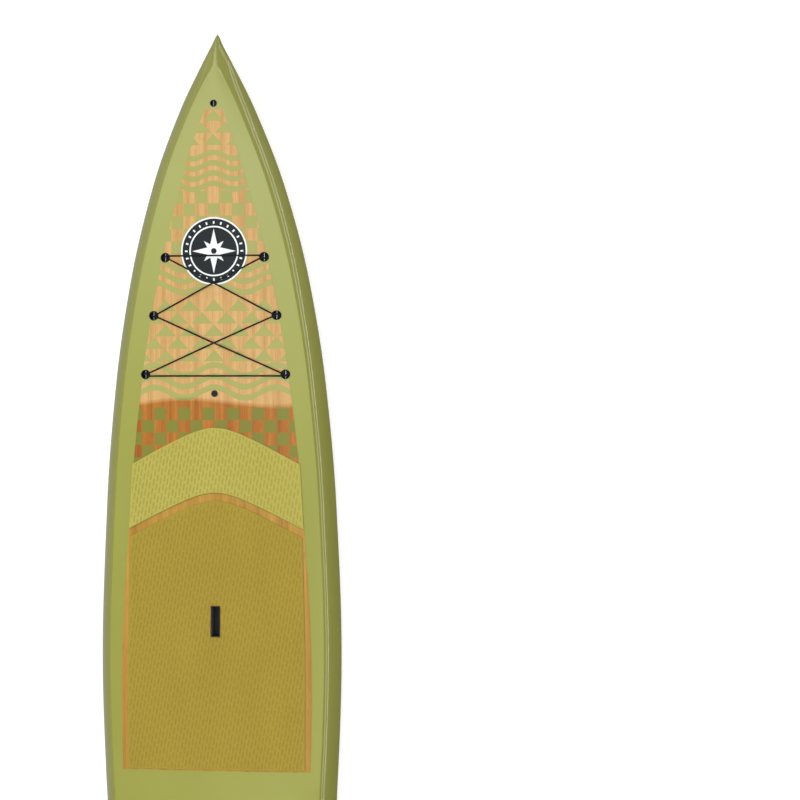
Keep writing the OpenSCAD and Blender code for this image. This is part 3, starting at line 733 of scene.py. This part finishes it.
def compass_badge(name, centre, sizes, swap, rings):
    """A plain compass rose in rings. rings are white between each pair of radii, as shares."""
    made = Surface(name, **GLOSS)
    axes = made.axes()
    u = (axes[swap[0]] - centre[0]) / sizes[0]
    v = (axes[swap[1]] - centre[1]) / sizes[1]
    radius = (u * u + v * v).math("SQRT")
    slant_u, slant_v = (u + v) * SLANT, (u - v) * SLANT
    rose = star(u, v, *LONG_POINTS).either(star(slant_u, slant_v, *SHORT_POINTS))
    hub = radius.under(HUB_R)
    white = rose.math("SUBTRACT", hub, clamp=True)
    for low, high in rings:
        white = white.either(radius.within(low, high))
    angle = v.math("ARCTAN2", u)
    round_ticks = angle * (TICKS / (2 * math.pi)) + TICK_SHARE / 2
    ticks = round_ticks.math("FRACT").under(TICK_SHARE) * radius.within(*TICK_RING)
    white = white.either(ticks)
    made.colour(made.mix(white, "1d2326", "e9eeeb"))
    return made.material


PAINT = olive_paint()
DECK_WOOD = deck_bamboo()
BOTTOM_WOOD = bottom_bamboo()
PALE_EVA = eva_foam("pale_eva", "a89f48", "b4aa52")
MUSTARD_EVA = eva_foam("mustard_eva", "96812a", "a58f34")
BLACK_PLASTIC = moulded_plastic("black_plastic", "0c0c0d")
BLACK_RUBBER = soft_rubber("black_rubber", "101011")
STEEL = bright_steel()
SHEATH = braided_sheath()
CORE_FOAM = foam_core("eps_foam", "e8e8e4", "f7f7f4", 260)
BLOCK_FOAM = foam_core("dense_foam", "e0cf9a", "efe2b4", 700)
STRINGER_WOOD = plain_wood("stringer_wood")


# ---- Camera ----

PIXEL = 0.003239
FRAME_W = 800
CAMERA_REACH = 9.0
VIEW_TILT = math.radians(9.2)
DECK_LEVEL = 0.150
NOSE_FROM_CENTRE = (-185, 367)


def make_camera():
    """Looks down on the deck from a little to the right, nose up and left of the middle."""
    right = Vector((math.cos(VIEW_TILT), 0, -math.sin(VIEW_TILT)))
    back = Vector((math.sin(VIEW_TILT), 0, math.cos(VIEW_TILT)))
    aim = Vector((0, NOSE_Y - NOSE_FROM_CENTRE[1] * PIXEL, DECK_LEVEL))
    aim -= right * (NOSE_FROM_CENTRE[0] * PIXEL)
    data = bpy.data.cameras.new("camera")
    data.lens = data.sensor_width * CAMERA_REACH / (FRAME_W * PIXEL)
    data.clip_end = 100
    made = bpy.data.objects.new("camera", data)
    made.location = aim + back * CAMERA_REACH
    made.rotation_euler = (0, VIEW_TILT, 0)
    bpy.context.scene.collection.objects.link(made)
    bpy.context.scene.camera = made


make_camera()


# ---- Hull skins ----

def hull_rows():
    """Stations of the hull's rows, close together at the nose, the step and the tail."""
    nose = NOSE_ROUND * (1 - np.cos(np.radians([0, 25, 45, 60, 75, 90])))
    front = np.linspace(0.02, 0.12, 14)
    body = np.linspace(0.135, 2.36, 128)
    step = np.linspace(2.37, 2.60, 34)
    back = np.linspace(2.62, BOARD_L - 0.045, 66)
    tail = BOARD_L - CORNER_ROUND * (1 - np.sin(np.radians(np.linspace(0, 90, 12))))
    return np.concatenate([nose, front, body, step, back, tail])


NOSE_PLUG_L = 0.040
CREASE_ANGLE = 16


def skin_faces(rows, cols, first, hubs):
    """One closed side of a skin: the grid and the fans that shut its nose and tail."""
    faces = grid_faces(rows, cols, first)
    last = first + (rows - 1) * cols
    faces += [(hubs[0], first + j, first + j + 1) for j in range(cols - 1)]
    faces += [(hubs[1], last + j + 1, last + j) for j in range(cols - 1)]
    return faces


def rim_loop(rows, cols, first, hubs):
    left = [first + i * cols for i in range(rows)]
    right = [first + i * cols + cols - 1 for i in range(rows - 1, -1, -1)]
    return left + [hubs[1]] + right + [hubs[0]]


def mark_rail_shade(piece, rows, cols, count):
    """Keeps with each outer point whether it lies on the rail, outside the crease; the paint is darker there
    as painted shade.
    """
    share = np.zeros((rows, cols), dtype=np.float32)
    share[:, :RAIL_PARTS] = 1
    share[:, cols - RAIL_PARTS:] = 1
    values = np.zeros(len(piece.data.vertices), dtype=np.float32)
    values[:count] = share.ravel()
    held = piece.data.attributes.new("rail", "FLOAT", "POINT")
    held.data.foreach_set("value", values)


def half_skin(name, side):
    """The deck's skin for side 1 and the bottom's for side -1, 3 mm thick."""
    stations = hull_rows()
    inner_stations = NOSE_PLUG_L + stations * (BOARD_L - NOSE_PLUG_L - SKIN_T) / BOARD_L
    outer = section(stations, side, 0)
    inner = section(inner_stations, side, SKIN_T)
    rows, cols = outer.shape[:2]
    count = rows * cols
    ends = [stations[0], stations[-1], inner_stations[0], inner_stations[-1]]
    hub_points = [(0, float(y_of(d)), float(rail_z(d))) for d in ends]
    points = np.concatenate([outer.reshape(-1, 3), inner.reshape(-1, 3), hub_points])
    outer_hubs, inner_hubs = (2 * count, 2 * count + 1), (2 * count + 2, 2 * count + 3)
    faces = skin_faces(rows, cols, 0, outer_hubs)
    faces += [tuple(reversed(f)) for f in skin_faces(rows, cols, count, inner_hubs)]
    faces += band(rim_loop(rows, cols, count, inner_hubs), rim_loop(rows, cols, 0, outer_hubs))
    if side < 0:
        faces = [tuple(reversed(f)) for f in faces]
    made = smooth(new_object(name, points, faces, PAINT), CREASE_ANGLE)
    mark_rail_shade(made, rows, cols, count)
    return made


def rounded_box(length, width, radius, low, high, corners=6):
    """Points and faces of an upright box with round corners, centred on the origin."""
    outline = []
    for quarter in range(4):
        turn = quarter * math.pi / 2
        side_x = width / 2 - radius if quarter in (0, 3) else radius - width / 2
        side_y = length / 2 - radius if quarter in (0, 1) else radius - length / 2
        for k in range(corners + 1):
            a = turn + k * math.pi / 2 / corners
            outline.append((side_x + radius * math.cos(a), side_y + radius * math.sin(a)))
    count = len(outline)
    points = [(x, y, low) for x, y in outline] + [(x, y, high) for x, y in outline]
    faces = band(list(range(count)), list(range(count, 2 * count)))
    faces += [list(range(count - 1, -1, -1)), list(range(count, 2 * count))]
    return points, faces


def drill(radius, low, high, sides=64):
    """Points and faces of an upright round cutter."""
    angles = np.linspace(0, 2 * math.pi, sides, endpoint=False)
    ring = [(radius * math.cos(a), radius * math.sin(a)) for a in angles]
    points = [(x, y, low) for x, y in ring] + [(x, y, high) for x, y in ring]
    faces = band(list(range(sides)), list(range(sides, 2 * sides)))
    faces += [list(range(sides - 1, -1, -1)), list(range(sides, 2 * sides))]
    return points, faces


PLUGS = [f"bungee_plug_{i}" for i in range(1, 7)]
ROUND_FITTINGS = [*PLUGS, "tow_plug", "leash_plug", "vent_body"]
# A fitting's flange covers the edge of its hole by this much
FLANGE_COVER = 0.0008
HANDLE_COVER = 0.001
FIN_COVER = 0.002
CUTTER_REACH = 0.03
SLOT_REACH = 0.02
handle_low, handle_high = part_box("handle_cup")
HANDLE_Y = (handle_low[1] + handle_high[1]) / 2
HANDLE_L = handle_high[1] - handle_low[1]
HANDLE_W = 0.029
fin_low, fin_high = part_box("fin_box")
FIN_Y = (fin_low[1] + fin_high[1]) / 2
FIN_L, FIN_W = fin_high[1] - fin_low[1], fin_high[0] - fin_low[0]


def deck_cutters():
    """One object with a cutter for each fitting in the deck."""
    points, faces = [], []

    def add(shape, at):
        start = len(points)
        points.extend((p[0] + at[0], p[1] + at[1], p[2] + at[2]) for p in shape[0])
        faces.extend([start + k for k in f] for f in shape[1])

    for node in ROUND_FITTINGS:
        low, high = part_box(node)
        radius = (high[0] - low[0]) / 2 - FLANGE_COVER
        add(drill(radius, -CUTTER_REACH, CUTTER_REACH), centre_of(node))
    level = float(deck_mid(NOSE_Y - HANDLE_Y))
    length, width = HANDLE_L - HANDLE_COVER, HANDLE_W - HANDLE_COVER
    add(rounded_box(length, width, 0.004, -SLOT_REACH, SLOT_REACH), (0, HANDLE_Y, level))
    return new_object("cutters", points, faces, PAINT)


def hull():
    deck = half_skin("deck_skin", 1)
    bottom = half_skin("bottom_skin", -1)
    cutters = deck_cutters()
    cut(deck, cutters, CREASE_ANGLE)
    shape = rounded_box(FIN_L - FIN_COVER, FIN_W - FIN_COVER, 0.003, -CUTTER_REACH, CUTTER_REACH)
    slot_cutter = new_object("slot_cutter", *shape, PAINT)
    slot_cutter.location = (0, FIN_Y, float(bottom_mid(NOSE_Y - FIN_Y)))
    cut(bottom, slot_cutter, CREASE_ANGLE)
    place(deck, "olive_paint", "deck_shell")
    place(bottom, "olive_paint", "bottom_shell")
    return cutters, slot_cutter


# ---- Veneers ----

VENEER_UNDER = 0.0001
DECK_PARTS = 24
BOTTOM_PARTS = 20
LEAST_VENEER = 0.003

def deck_grid(d, half, lift, parts):
    """Points over the deck: one row for each station, out to half each side."""
    share = np.linspace(-1, 1, 2 * parts + 1)[None, :]
    d = np.asarray(d, dtype=float)[:, None]
    x = np.asarray(half, dtype=float)[:, None] * share
    return np.stack([x, np.broadcast_to(y_of(d), x.shape), deck_z(d, x) + lift], axis=-1)


def bottom_grid(d, half, drop, parts):
    share = np.linspace(1, -1, 2 * parts + 1)[None, :]
    d = np.asarray(d, dtype=float)[:, None]
    x = np.asarray(half, dtype=float)[:, None] * share
    return np.stack([x, np.broadcast_to(y_of(d), x.shape), bottom_z(d, x) - drop], axis=-1)


def rows_between(ends, pitch=0.016):
    return np.linspace(ends[0], ends[1], max(2, round((ends[1] - ends[0]) / pitch)))


def veneers(cutters, slot_cutter):
    for node in ("deck_veneer_front", "deck_veneer_tail"):
        d = rows_between(ends_of(node))
        half = half_width(d) - curve(DECK_BORDER_KNOTS, along(d))
        upper, lower = (deck_grid(d, half, lift, DECK_PARTS) for lift in (VENEER_TOP, VENEER_UNDER))
        made = layer(f"{node}_skin", upper, lower, DECK_WOOD)
        if node == "deck_veneer_front":
            cut(made, cutters)
        place(made, "bamboo", node)
    d = rows_between(ends_of("bottom_veneer"))
    half = np.maximum(LEAST_VENEER, half_width(d) - curve(BOTTOM_BORDER_KNOTS, along(d)))
    upper, lower = (bottom_grid(d, half, drop, BOTTOM_PARTS) for drop in (VENEER_TOP, VENEER_UNDER))
    made = layer("bottom_veneer_skin", upper, lower, BOTTOM_WOOD)
    cut(made, slot_cutter)
    place(made, "bamboo", "bottom_veneer")


# ---- Pads ----

CHEVRON_DEPTH = 0.118
CHEVRON_SOFT = 0.3
GROOVE_PITCH = 0.0115
GROOVE_L = 0.030
GROOVE_SLANT = 0.45
GROOVE_DEPTH = 0.0009
GROOVE_NARROWNESS = 1.7
PARTS_PER_GROOVE = 4
# A thin painted shadow along a pad's rear edge: how wide it is and how dark.
REAR_SHADOW_LINE = 0.003
REAR_SHADOW_TONE = 1.6
PAD_ROW = 0.004
PAD_BASE = 0.0006
PAD_BORDER = 0.088
PAD_MARGIN = 0.003
PAD_FADE = 0.004
EDGE_W = 0.0022
EDGE_DROP = 0.0016
HANDLE_ROOM = 0.006


def chevron(tip, share):
    soft = np.sqrt(share * share + CHEVRON_SOFT**2) - CHEVRON_SOFT
    return tip + CHEVRON_DEPTH * soft / (math.sqrt(1 + CHEVRON_SOFT**2) - CHEVRON_SOFT)


def blend_to(pair, d, start, end):
    return pair[0] + (pair[1] - pair[0]) * np.clip((d - start) / (end - start), 0, 1)


def groove_depths(x, d):
    """How deep each point lies in a short slanting groove, from 0 to 1. Grooves lie as bricks do."""
    row = d / GROOVE_L
    turn = x / GROOVE_PITCH + GROOVE_SLANT * row
    index = np.floor(turn + 0.5)
    across = np.abs(turn - index) * 2
    v = row + 0.5 * (index % 2) + 0.12 * np.sin(index * 2.4)
    from_middle = np.abs(v - np.floor(v) - 0.5) * 2
    return np.clip(1 - across * GROOVE_NARROWNESS, 0, 1) * np.clip((0.9 - from_middle) * 4, 0, 1)


def pad(name, node, front, rear, half, material, hole=None, rear_shadow_line=0.0):
    """A foam pad between two edges, each a function of the share of the half width."""
    middle = front(np.zeros(1))[0] + rear(np.zeros(1))[0]
    grooves = round(2 * float(half(np.array([middle / 2]))[0]) / GROOVE_PITCH)
    share = np.linspace(-1, 1, grooves * PARTS_PER_GROOVE + 1)[None, :]
    length = float(rear(np.zeros(1))[0] - front(np.zeros(1))[0])
    down = np.linspace(0, 1, round(length / PAD_ROW) + 1)[:, None]
    start, end = front(np.abs(share)), rear(np.abs(share))
    d = start + (end - start) * down
    x = half(d) * share
    depth = groove_depths(x, d)
    from_edge = np.minimum(np.minimum(d - start, end - d), half(d) - np.abs(x))
    depth = depth * np.clip((from_edge - PAD_MARGIN) / PAD_FADE, 0, 1)
    edge = np.clip(1 - from_edge / EDGE_W, 0, 1) ** 2 * EDGE_DROP
    surface = deck_z(d, x)
    upper = np.stack([x, y_of(d), surface + PAD_TOP - depth * GROOVE_DEPTH - edge], axis=-1)
    lower = np.stack([x, y_of(d), surface + PAD_BASE], axis=-1)
    made = layer(name, upper, lower, material)
    groove = made.data.attributes.new("groove", "FLOAT", "POINT")
    values = np.zeros(len(made.data.vertices), dtype=np.float32)
    # Painted shade: grooves darker by their depth, a painted shadow line along the rear edge, and the lower
    # layer, the pad's sides, fully shaded.
    values[:depth.size] = np.where(end - d < rear_shadow_line, REAR_SHADOW_TONE, depth).ravel()
    values[depth.size:] = 1
    groove.data.foreach_set("value", values)
    if hole is not None:
        cut(made, hole)
    place(made, "mustard_eva" if material is MUSTARD_EVA else "pale_eva", node)
    return made


def pads():
    front_ends = ends_of("front_pad")
    main_ends = ends_of("main_pad")
    tail_ends = ends_of("tail_pad")
    front_rear_tip = front_ends[1] - CHEVRON_DEPTH
    pad("front_pad_foam", "front_pad", lambda u: chevron(front_ends[0], u),
        lambda u: chevron(front_rear_tip, u),
        lambda d: blend_to((0.278, 0.290), d, 1.392, 1.610), PALE_EVA, rear_shadow_line=REAR_SHADOW_LINE)
    length, width = HANDLE_L + HANDLE_ROOM, HANDLE_W + HANDLE_ROOM
    hole = new_object("hole", *rounded_box(length, width, 0.006, -SLOT_REACH, SLOT_REACH), PAINT)
    hole.location = (0, HANDLE_Y, float(deck_mid(NOSE_Y - HANDLE_Y)) + PAD_UNDER)
    pad("main_pad_foam", "main_pad", lambda u: chevron(main_ends[0], u),
        lambda u: np.full_like(u, main_ends[1]),
        lambda d: blend_to((0.286, 0.294), d, 1.639, 2.000), MUSTARD_EVA, hole)
    discard(hole)
    pad("tail_pad_foam", "tail_pad", lambda u: np.full_like(u, tail_ends[0]),
        lambda u: np.full_like(u, tail_ends[1]), lambda d: half_width(d) - PAD_BORDER, MUSTARD_EVA)
    kick_bar()


KICK_PARTS = 60
KICK_SHAPE = [(0, 0.005), (0.1, 0.009), (0.3, 0.012), (0.62, 0.013), (0.9, 0.012), (1, 0.008)]


def kick_bar():
    """The raised bar behind the tail pad, with a soft crest."""
    ends = ends_of("kick_bar")
    share = np.linspace(0, 1, 34)
    d = ends[0] + (ends[1] - ends[0]) * share
    half = half_width(d) - PAD_BORDER
    height = curve(KICK_SHAPE, share)
    upper = deck_grid(d, half, PAD_UNDER, KICK_PARTS)
    upper[:, :, 2] += height[:, None]
    made = layer("kick_bar_foam", upper, deck_grid(d, half, PAD_BASE, KICK_PARTS), MUSTARD_EVA)
    soften(made, 0.0018, segments=3, angle=50)
    place(made, "mustard_eva", "kick_bar")


# ---- Bungee ----

CORD_R = 0.0025
CORD_ORDER = [0, 1, 2, 5, 4, 3]
# For each stop: the side the cord enters on, and whether the run after it crosses on top
CORD_STOPS = [(-1, False), (1, True), (1, True), (1, False), (-1, False), (-1, False)]
# One wrap round a pin: distance inward, distance along the pin, height above the deck
CORD_WRAP = [
    (0.014, 0.005, 0.0054), (0.009, 0.005, 0.0022), (0.006, 0.005, -0.005), (0.002, 0.0045, -0.0096),
    (-0.003, 0.003, -0.0089), (-0.005, 0, -0.0045), (-0.0035, -0.0025, -0.0006), (0.001, -0.004, 0.001),
    (0.014, -0.005, 0.0054),
]
CORD_LIFT = 0.0052
CORD_HUMP = 0.0108
HUMP_REACH = 0.2
CORD_SIDES = 14
STEPS_PER_POINT = 5
RUN_PARTS = 5
PLUG_X = (0.164, 0.204, 0.232)


def plug_spot(k):
    side = 1 if k % 2 else -1
    return side * PLUG_X[k // 2], station_of(PLUGS[k])


def over_deck(x, d, lift):
    return np.array([x, float(y_of(d)), float(deck_z(d, x)) + lift])


def in_plug(spot, along_x, along_y, height):
    """A point in a plug's own tilted frame."""
    x, d = spot
    lean = math.atan((float(deck_z(d, x - 0.005)) - float(deck_z(d, x + 0.005))) / 0.010)
    pitch = math.atan((float(deck_mid(d - 0.010)) - float(deck_mid(d + 0.010))) / 0.020)
    y = along_y * math.cos(pitch) - height * math.sin(pitch)
    z = along_y * math.sin(pitch) + height * math.cos(pitch)
    turned = (along_x * math.cos(lean) + z * math.sin(lean), y, z * math.cos(lean) - along_x * math.sin(lean))
    return over_deck(x, d, 0) + np.array(turned)


def cord_route():
    route = []
    count = len(CORD_ORDER)
    for k in range(count):
        spot, (forward, over) = plug_spot(CORD_ORDER[k]), CORD_STOPS[k]
        inward = -1 if spot[0] > 0 else 1
        route += [in_plug(spot, inward * w[0], forward * w[1], w[2]) for w in CORD_WRAP]
        next_spot, next_forward = plug_spot(CORD_ORDER[(k + 1) % count]), CORD_STOPS[(k + 1) % count][0]
        next_inward = -1 if next_spot[0] > 0 else 1
        last, first = CORD_WRAP[-1], CORD_WRAP[0]
        start = (spot[0] + inward * last[0], spot[1] - forward * last[1])
        end = (next_spot[0] + next_inward * first[0], next_spot[1] - next_forward * first[1])
        for part in range(1, RUN_PARTS):
            t = part / RUN_PARTS
            lift = CORD_HUMP if over and abs(t - 0.5) < HUMP_REACH else CORD_LIFT
            x, d = (start[n] + (end[n] - start[n]) * t for n in (0, 1))
            route.append(over_deck(x, d, lift))
    return np.array(route)


def smooth_loop(points, parts):
    """A closed smooth line through points, with parts steps between each two."""
    before, after, next_after = (np.roll(points, n, axis=0) for n in (1, -1, -2))
    steps = []
    for k in range(parts):
        t = k / parts
        steps.append(0.5 * (2 * points + (after - before) * t
                            + (2 * before - 5 * points + 4 * after - next_after) * t**2
                            + (3 * points - before - 3 * after + next_after) * t**3))
    return np.stack(steps, axis=1).reshape(-1, 3)


def bungee():
    """The bungee as one smooth tube, with its own length and turn kept for the braid."""
    line = smooth_loop(cord_route(), STEPS_PER_POINT)
    sides, count = CORD_SIDES, len(line)
    ahead = np.roll(line, -1, axis=0) - np.roll(line, 1, axis=0)
    ahead /= np.linalg.norm(ahead, axis=1)[:, None]
    up = np.array([0, 0, 1.0])
    across = np.cross(ahead, np.where(np.abs(ahead[:, 2:]) > 0.9, np.array([[0, 1.0, 0]]), up[None, :]))
    across /= np.linalg.norm(across, axis=1)[:, None]
    over = np.cross(across, ahead)
    turn = np.linspace(0, 1, sides, endpoint=False)
    angle = turn[None, :, None] * 2 * math.pi
    points = line[:, None] + CORD_R * (across[:, None] * np.cos(angle) + over[:, None] * np.sin(angle))
    faces = []
    for i in range(count):
        a, b = i * sides, ((i + 1) % count) * sides
        faces += [(a + k, a + (k + 1) % sides, b + (k + 1) % sides, b + k) for k in range(sides)]
    made = smooth(new_object("bungee_braid", points.reshape(-1, 3), faces, SHEATH), 80)
    run = np.concatenate([[0], np.cumsum(np.linalg.norm(np.diff(line, axis=0), axis=1))])
    for name, values in (("turn", np.tile(turn, count)), ("run", np.repeat(run, sides))):
        held = made.data.attributes.new(name, "FLOAT", "POINT")
        held.data.foreach_set("value", values.astype(np.float32))
    place(made, "cord", "bungee_cord")


# ---- Badges ----

def round_layer(name, point, material, rings=14, steps=96):
    """A thin round layer; point gives the place for a share of the radius, an angle and a lift."""
    angles = np.linspace(0, 2 * math.pi, steps, endpoint=False)
    points, faces = [], []
    for lift in (1, 0):
        hub = len(points)
        points.append(point(0, 0, lift))
        points += [point(r, a, lift) for r in np.linspace(0, 1, rings + 1)[1:] for a in angles]
        sheet = [(hub, hub + 1 + k, hub + 1 + (k + 1) % steps) for k in range(steps)]
        for ring in range(rings - 1):
            inner = hub + 1 + ring * steps
            loop = list(range(inner, inner + steps))
            sheet += band([k + steps for k in loop], loop)
        faces += [tuple(reversed(f)) for f in sheet] if lift else sheet
    rim = list(range(1 + (rings - 1) * steps, 1 + rings * steps))
    faces += band(rim, [k + 1 + rings * steps for k in rim])
    return smooth(new_object(name, points, faces, material))


def badges():
    low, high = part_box("deck_badge")
    centre, radius = centre_of("deck_badge"), (high[0] - low[0]) / 2
    at = NOSE_Y - centre.y

    def on_deck(share, angle, lift):
        x, d = radius * share * math.sin(angle), at - radius * share * math.cos(angle)
        return x, float(y_of(d)), float(deck_z(d, x)) + PAD_UNDER + (0.0003 if lift else -0.0005)

    material = compass_badge("deck_badge_print", (0.0, centre.y), (radius, radius), (0, 1),
                             [(0.70, 0.745), (0.955, 1.1)])
    place(round_layer("deck_badge_disc", on_deck, material), "badge_print", "deck_badge")
    low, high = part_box("rail_badge_right")
    middle = centre_of("rail_badge_right")
    reach_y, reach_z = (high[1] - low[1]) / 2, (high[2] - low[2]) / 2
    at = NOSE_Y - middle.y
    for node, side in (("rail_badge_right", 1), ("rail_badge_left", -1)):

        def on_rail(share, angle, lift, side=side):
            d = at - reach_y * share * math.cos(angle)
            z = middle.z - side * reach_z * share * math.sin(angle)
            x = float(rail_x(d, z)) + (0.00065 if lift else 0.0)
            return side * x, float(y_of(d)), z

        material = compass_badge(f"{node}_print", (middle.y, middle.z), (reach_y, reach_z), (1, 2),
                                 [(0.70, 0.76), (0.94, 1.1)])
        place(round_layer(f"{node}_oval", on_rail, material), "badge_print", node)


# ---- CAD nodes that keep their shape ----

EDGE_ROUNDS = [
    ("vent_screw", 0.0003, 2), ("fin_box", 0.0007, 2), ("handle_cup", 0.0012, 3), ("handle_grip", 0.0005, 2),
]


def keep_nodes():
    """Gives each CAD node that stays its material, and the fittings a fine round on their edges."""
    finishes = {
        BLACK_PLASTIC: [*ROUND_FITTINGS, "vent_screw", "fin_box", "handle_cup"],
        BLACK_RUBBER: ["vent_o_ring", "handle_grip"],
        STEEL: [*(f"bungee_pin_{i}" for i in range(1, 7)), "tow_pin", "leash_pin"],
        CORE_FOAM: ["core_left", "core_right"],
        BLOCK_FOAM: ["handle_block", "fin_block"],
        STRINGER_WOOD: ["stringer"],
    }
    for material, nodes in finishes.items():
        for node in nodes:
            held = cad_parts[node]
            held.data.materials.clear()
            held.data.materials.append(material)
    for node in ROUND_FITTINGS:
        soften(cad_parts[node], 0.0006, segments=3)
    for node, width, segments in EDGE_ROUNDS:
        soften(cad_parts[node], width, segments)


# ---- Floor, light and world ----

FLOOR_REACH = 30.0
FLOOR_GLOW = 0.70
FLOOR_GAP = 0.0002
WALL_TILT = -0.22
WALL_LEVEL = 0.36


def make_floor():
    points = [(x * FLOOR_REACH, y * FLOOR_REACH, 0) for x, y in ((-1, -1), (1, -1), (1, 1), (-1, 1))]
    made = Surface("studio_floor", Roughness=0.9, Specular_IOR_Level=0.1)
    cloud = made.noise(0.6, detail=2)
    made.colour(made.mix(cloud, "b4b4b3", "b8b8b7"))
    made.set(Emission_Color=rgba("ffffff"), Emission_Strength=FLOOR_GLOW)
    floor = new_object("studio_floor", points, [(0, 1, 2, 3)], made.material)
    floor.location.z = -FLOOR_GAP
    floor.visible_glossy = False


# Each lamp: its place, size and watts, and whether matt and glossy surfaces are lit by it
DOWN_LAMPS = {
    "key_softbox": ((0.4, 0.5, 6.0), (6.0, 7.0), 430, True, False),
    "sheen_softbox": ((1.6, 0.5, 6.0), (3.0, 5.0), 150, False, True),
    "nose_softbox": ((-1.1, 2.9, 6.0), (1.8, 1.6), 34, False, True),
}
SIDE_LAMPS = {
    "right_low_strip": ((6.0, 3.0, 0.95), (16.0, 0.35), 180, False, True),
    "right_high_strip": ((5.0, 3.0, 2.0), (16.0, 0.6), 190, False, True),
    "left_strip": ((-5.0, 3.0, 1.0), (16.0, 0.5), 50, False, True),
}
# A lamp aimed straight down has no level side, so its aim is off by a hair
AIM_OFFSET = 0.0001
SIDE_AIM = (0, 3.0, 0.1)


def lamp(name, aim, at, size, power, diffuse, glossy):
    data = bpy.data.lights.new(name, "AREA")
    data.shape, data.size, data.size_y = "RECTANGLE", size[0], size[1]
    data.energy = power
    made = bpy.data.objects.new(name, data)
    made.location = at
    made.rotation_euler = (Vector(aim) - Vector(at)).to_track_quat("-Z", "Y").to_euler()
    made.visible_diffuse, made.visible_glossy = diffuse, glossy
    bpy.context.scene.collection.objects.link(made)


def make_world():
    """Studio walls that light the board more from the left, with a white backdrop behind it."""
    world = bpy.data.worlds.new("studio")
    world.use_nodes = True
    tree = world.node_tree
    sky = tree.nodes["Background"]
    sky.inputs["Color"].default_value = (0.97, 0.985, 1.0, 1.0)
    split = tree.nodes.new("ShaderNodeSeparateXYZ")
    tree.links.new(tree.nodes.new("ShaderNodeTexCoord").outputs["Generated"], split.inputs[0])
    walls = Field(tree, split.outputs["X"]) * WALL_TILT + WALL_LEVEL
    backdrop = Field(tree, tree.nodes.new("ShaderNodeLightPath").outputs["Is Camera Ray"])
    strength = walls.either(backdrop)
    tree.links.new(strength.socket, sky.inputs["Strength"])
    bpy.context.scene.world = world


def make_light():
    make_world()
    for name, (at, *rest) in DOWN_LAMPS.items():
        lamp(name, (at[0], at[1] + AIM_OFFSET, 0), at, *rest)
    for name, settings in SIDE_LAMPS.items():
        lamp(name, SIDE_AIM, *settings)
    bpy.context.scene.view_settings.view_transform = "Standard"


cutters, slot_cutter = hull()
veneers(cutters, slot_cutter)
discard(cutters)
discard(slot_cutter)
pads()
bungee()
badges()
keep_nodes()
make_floor()
make_light()
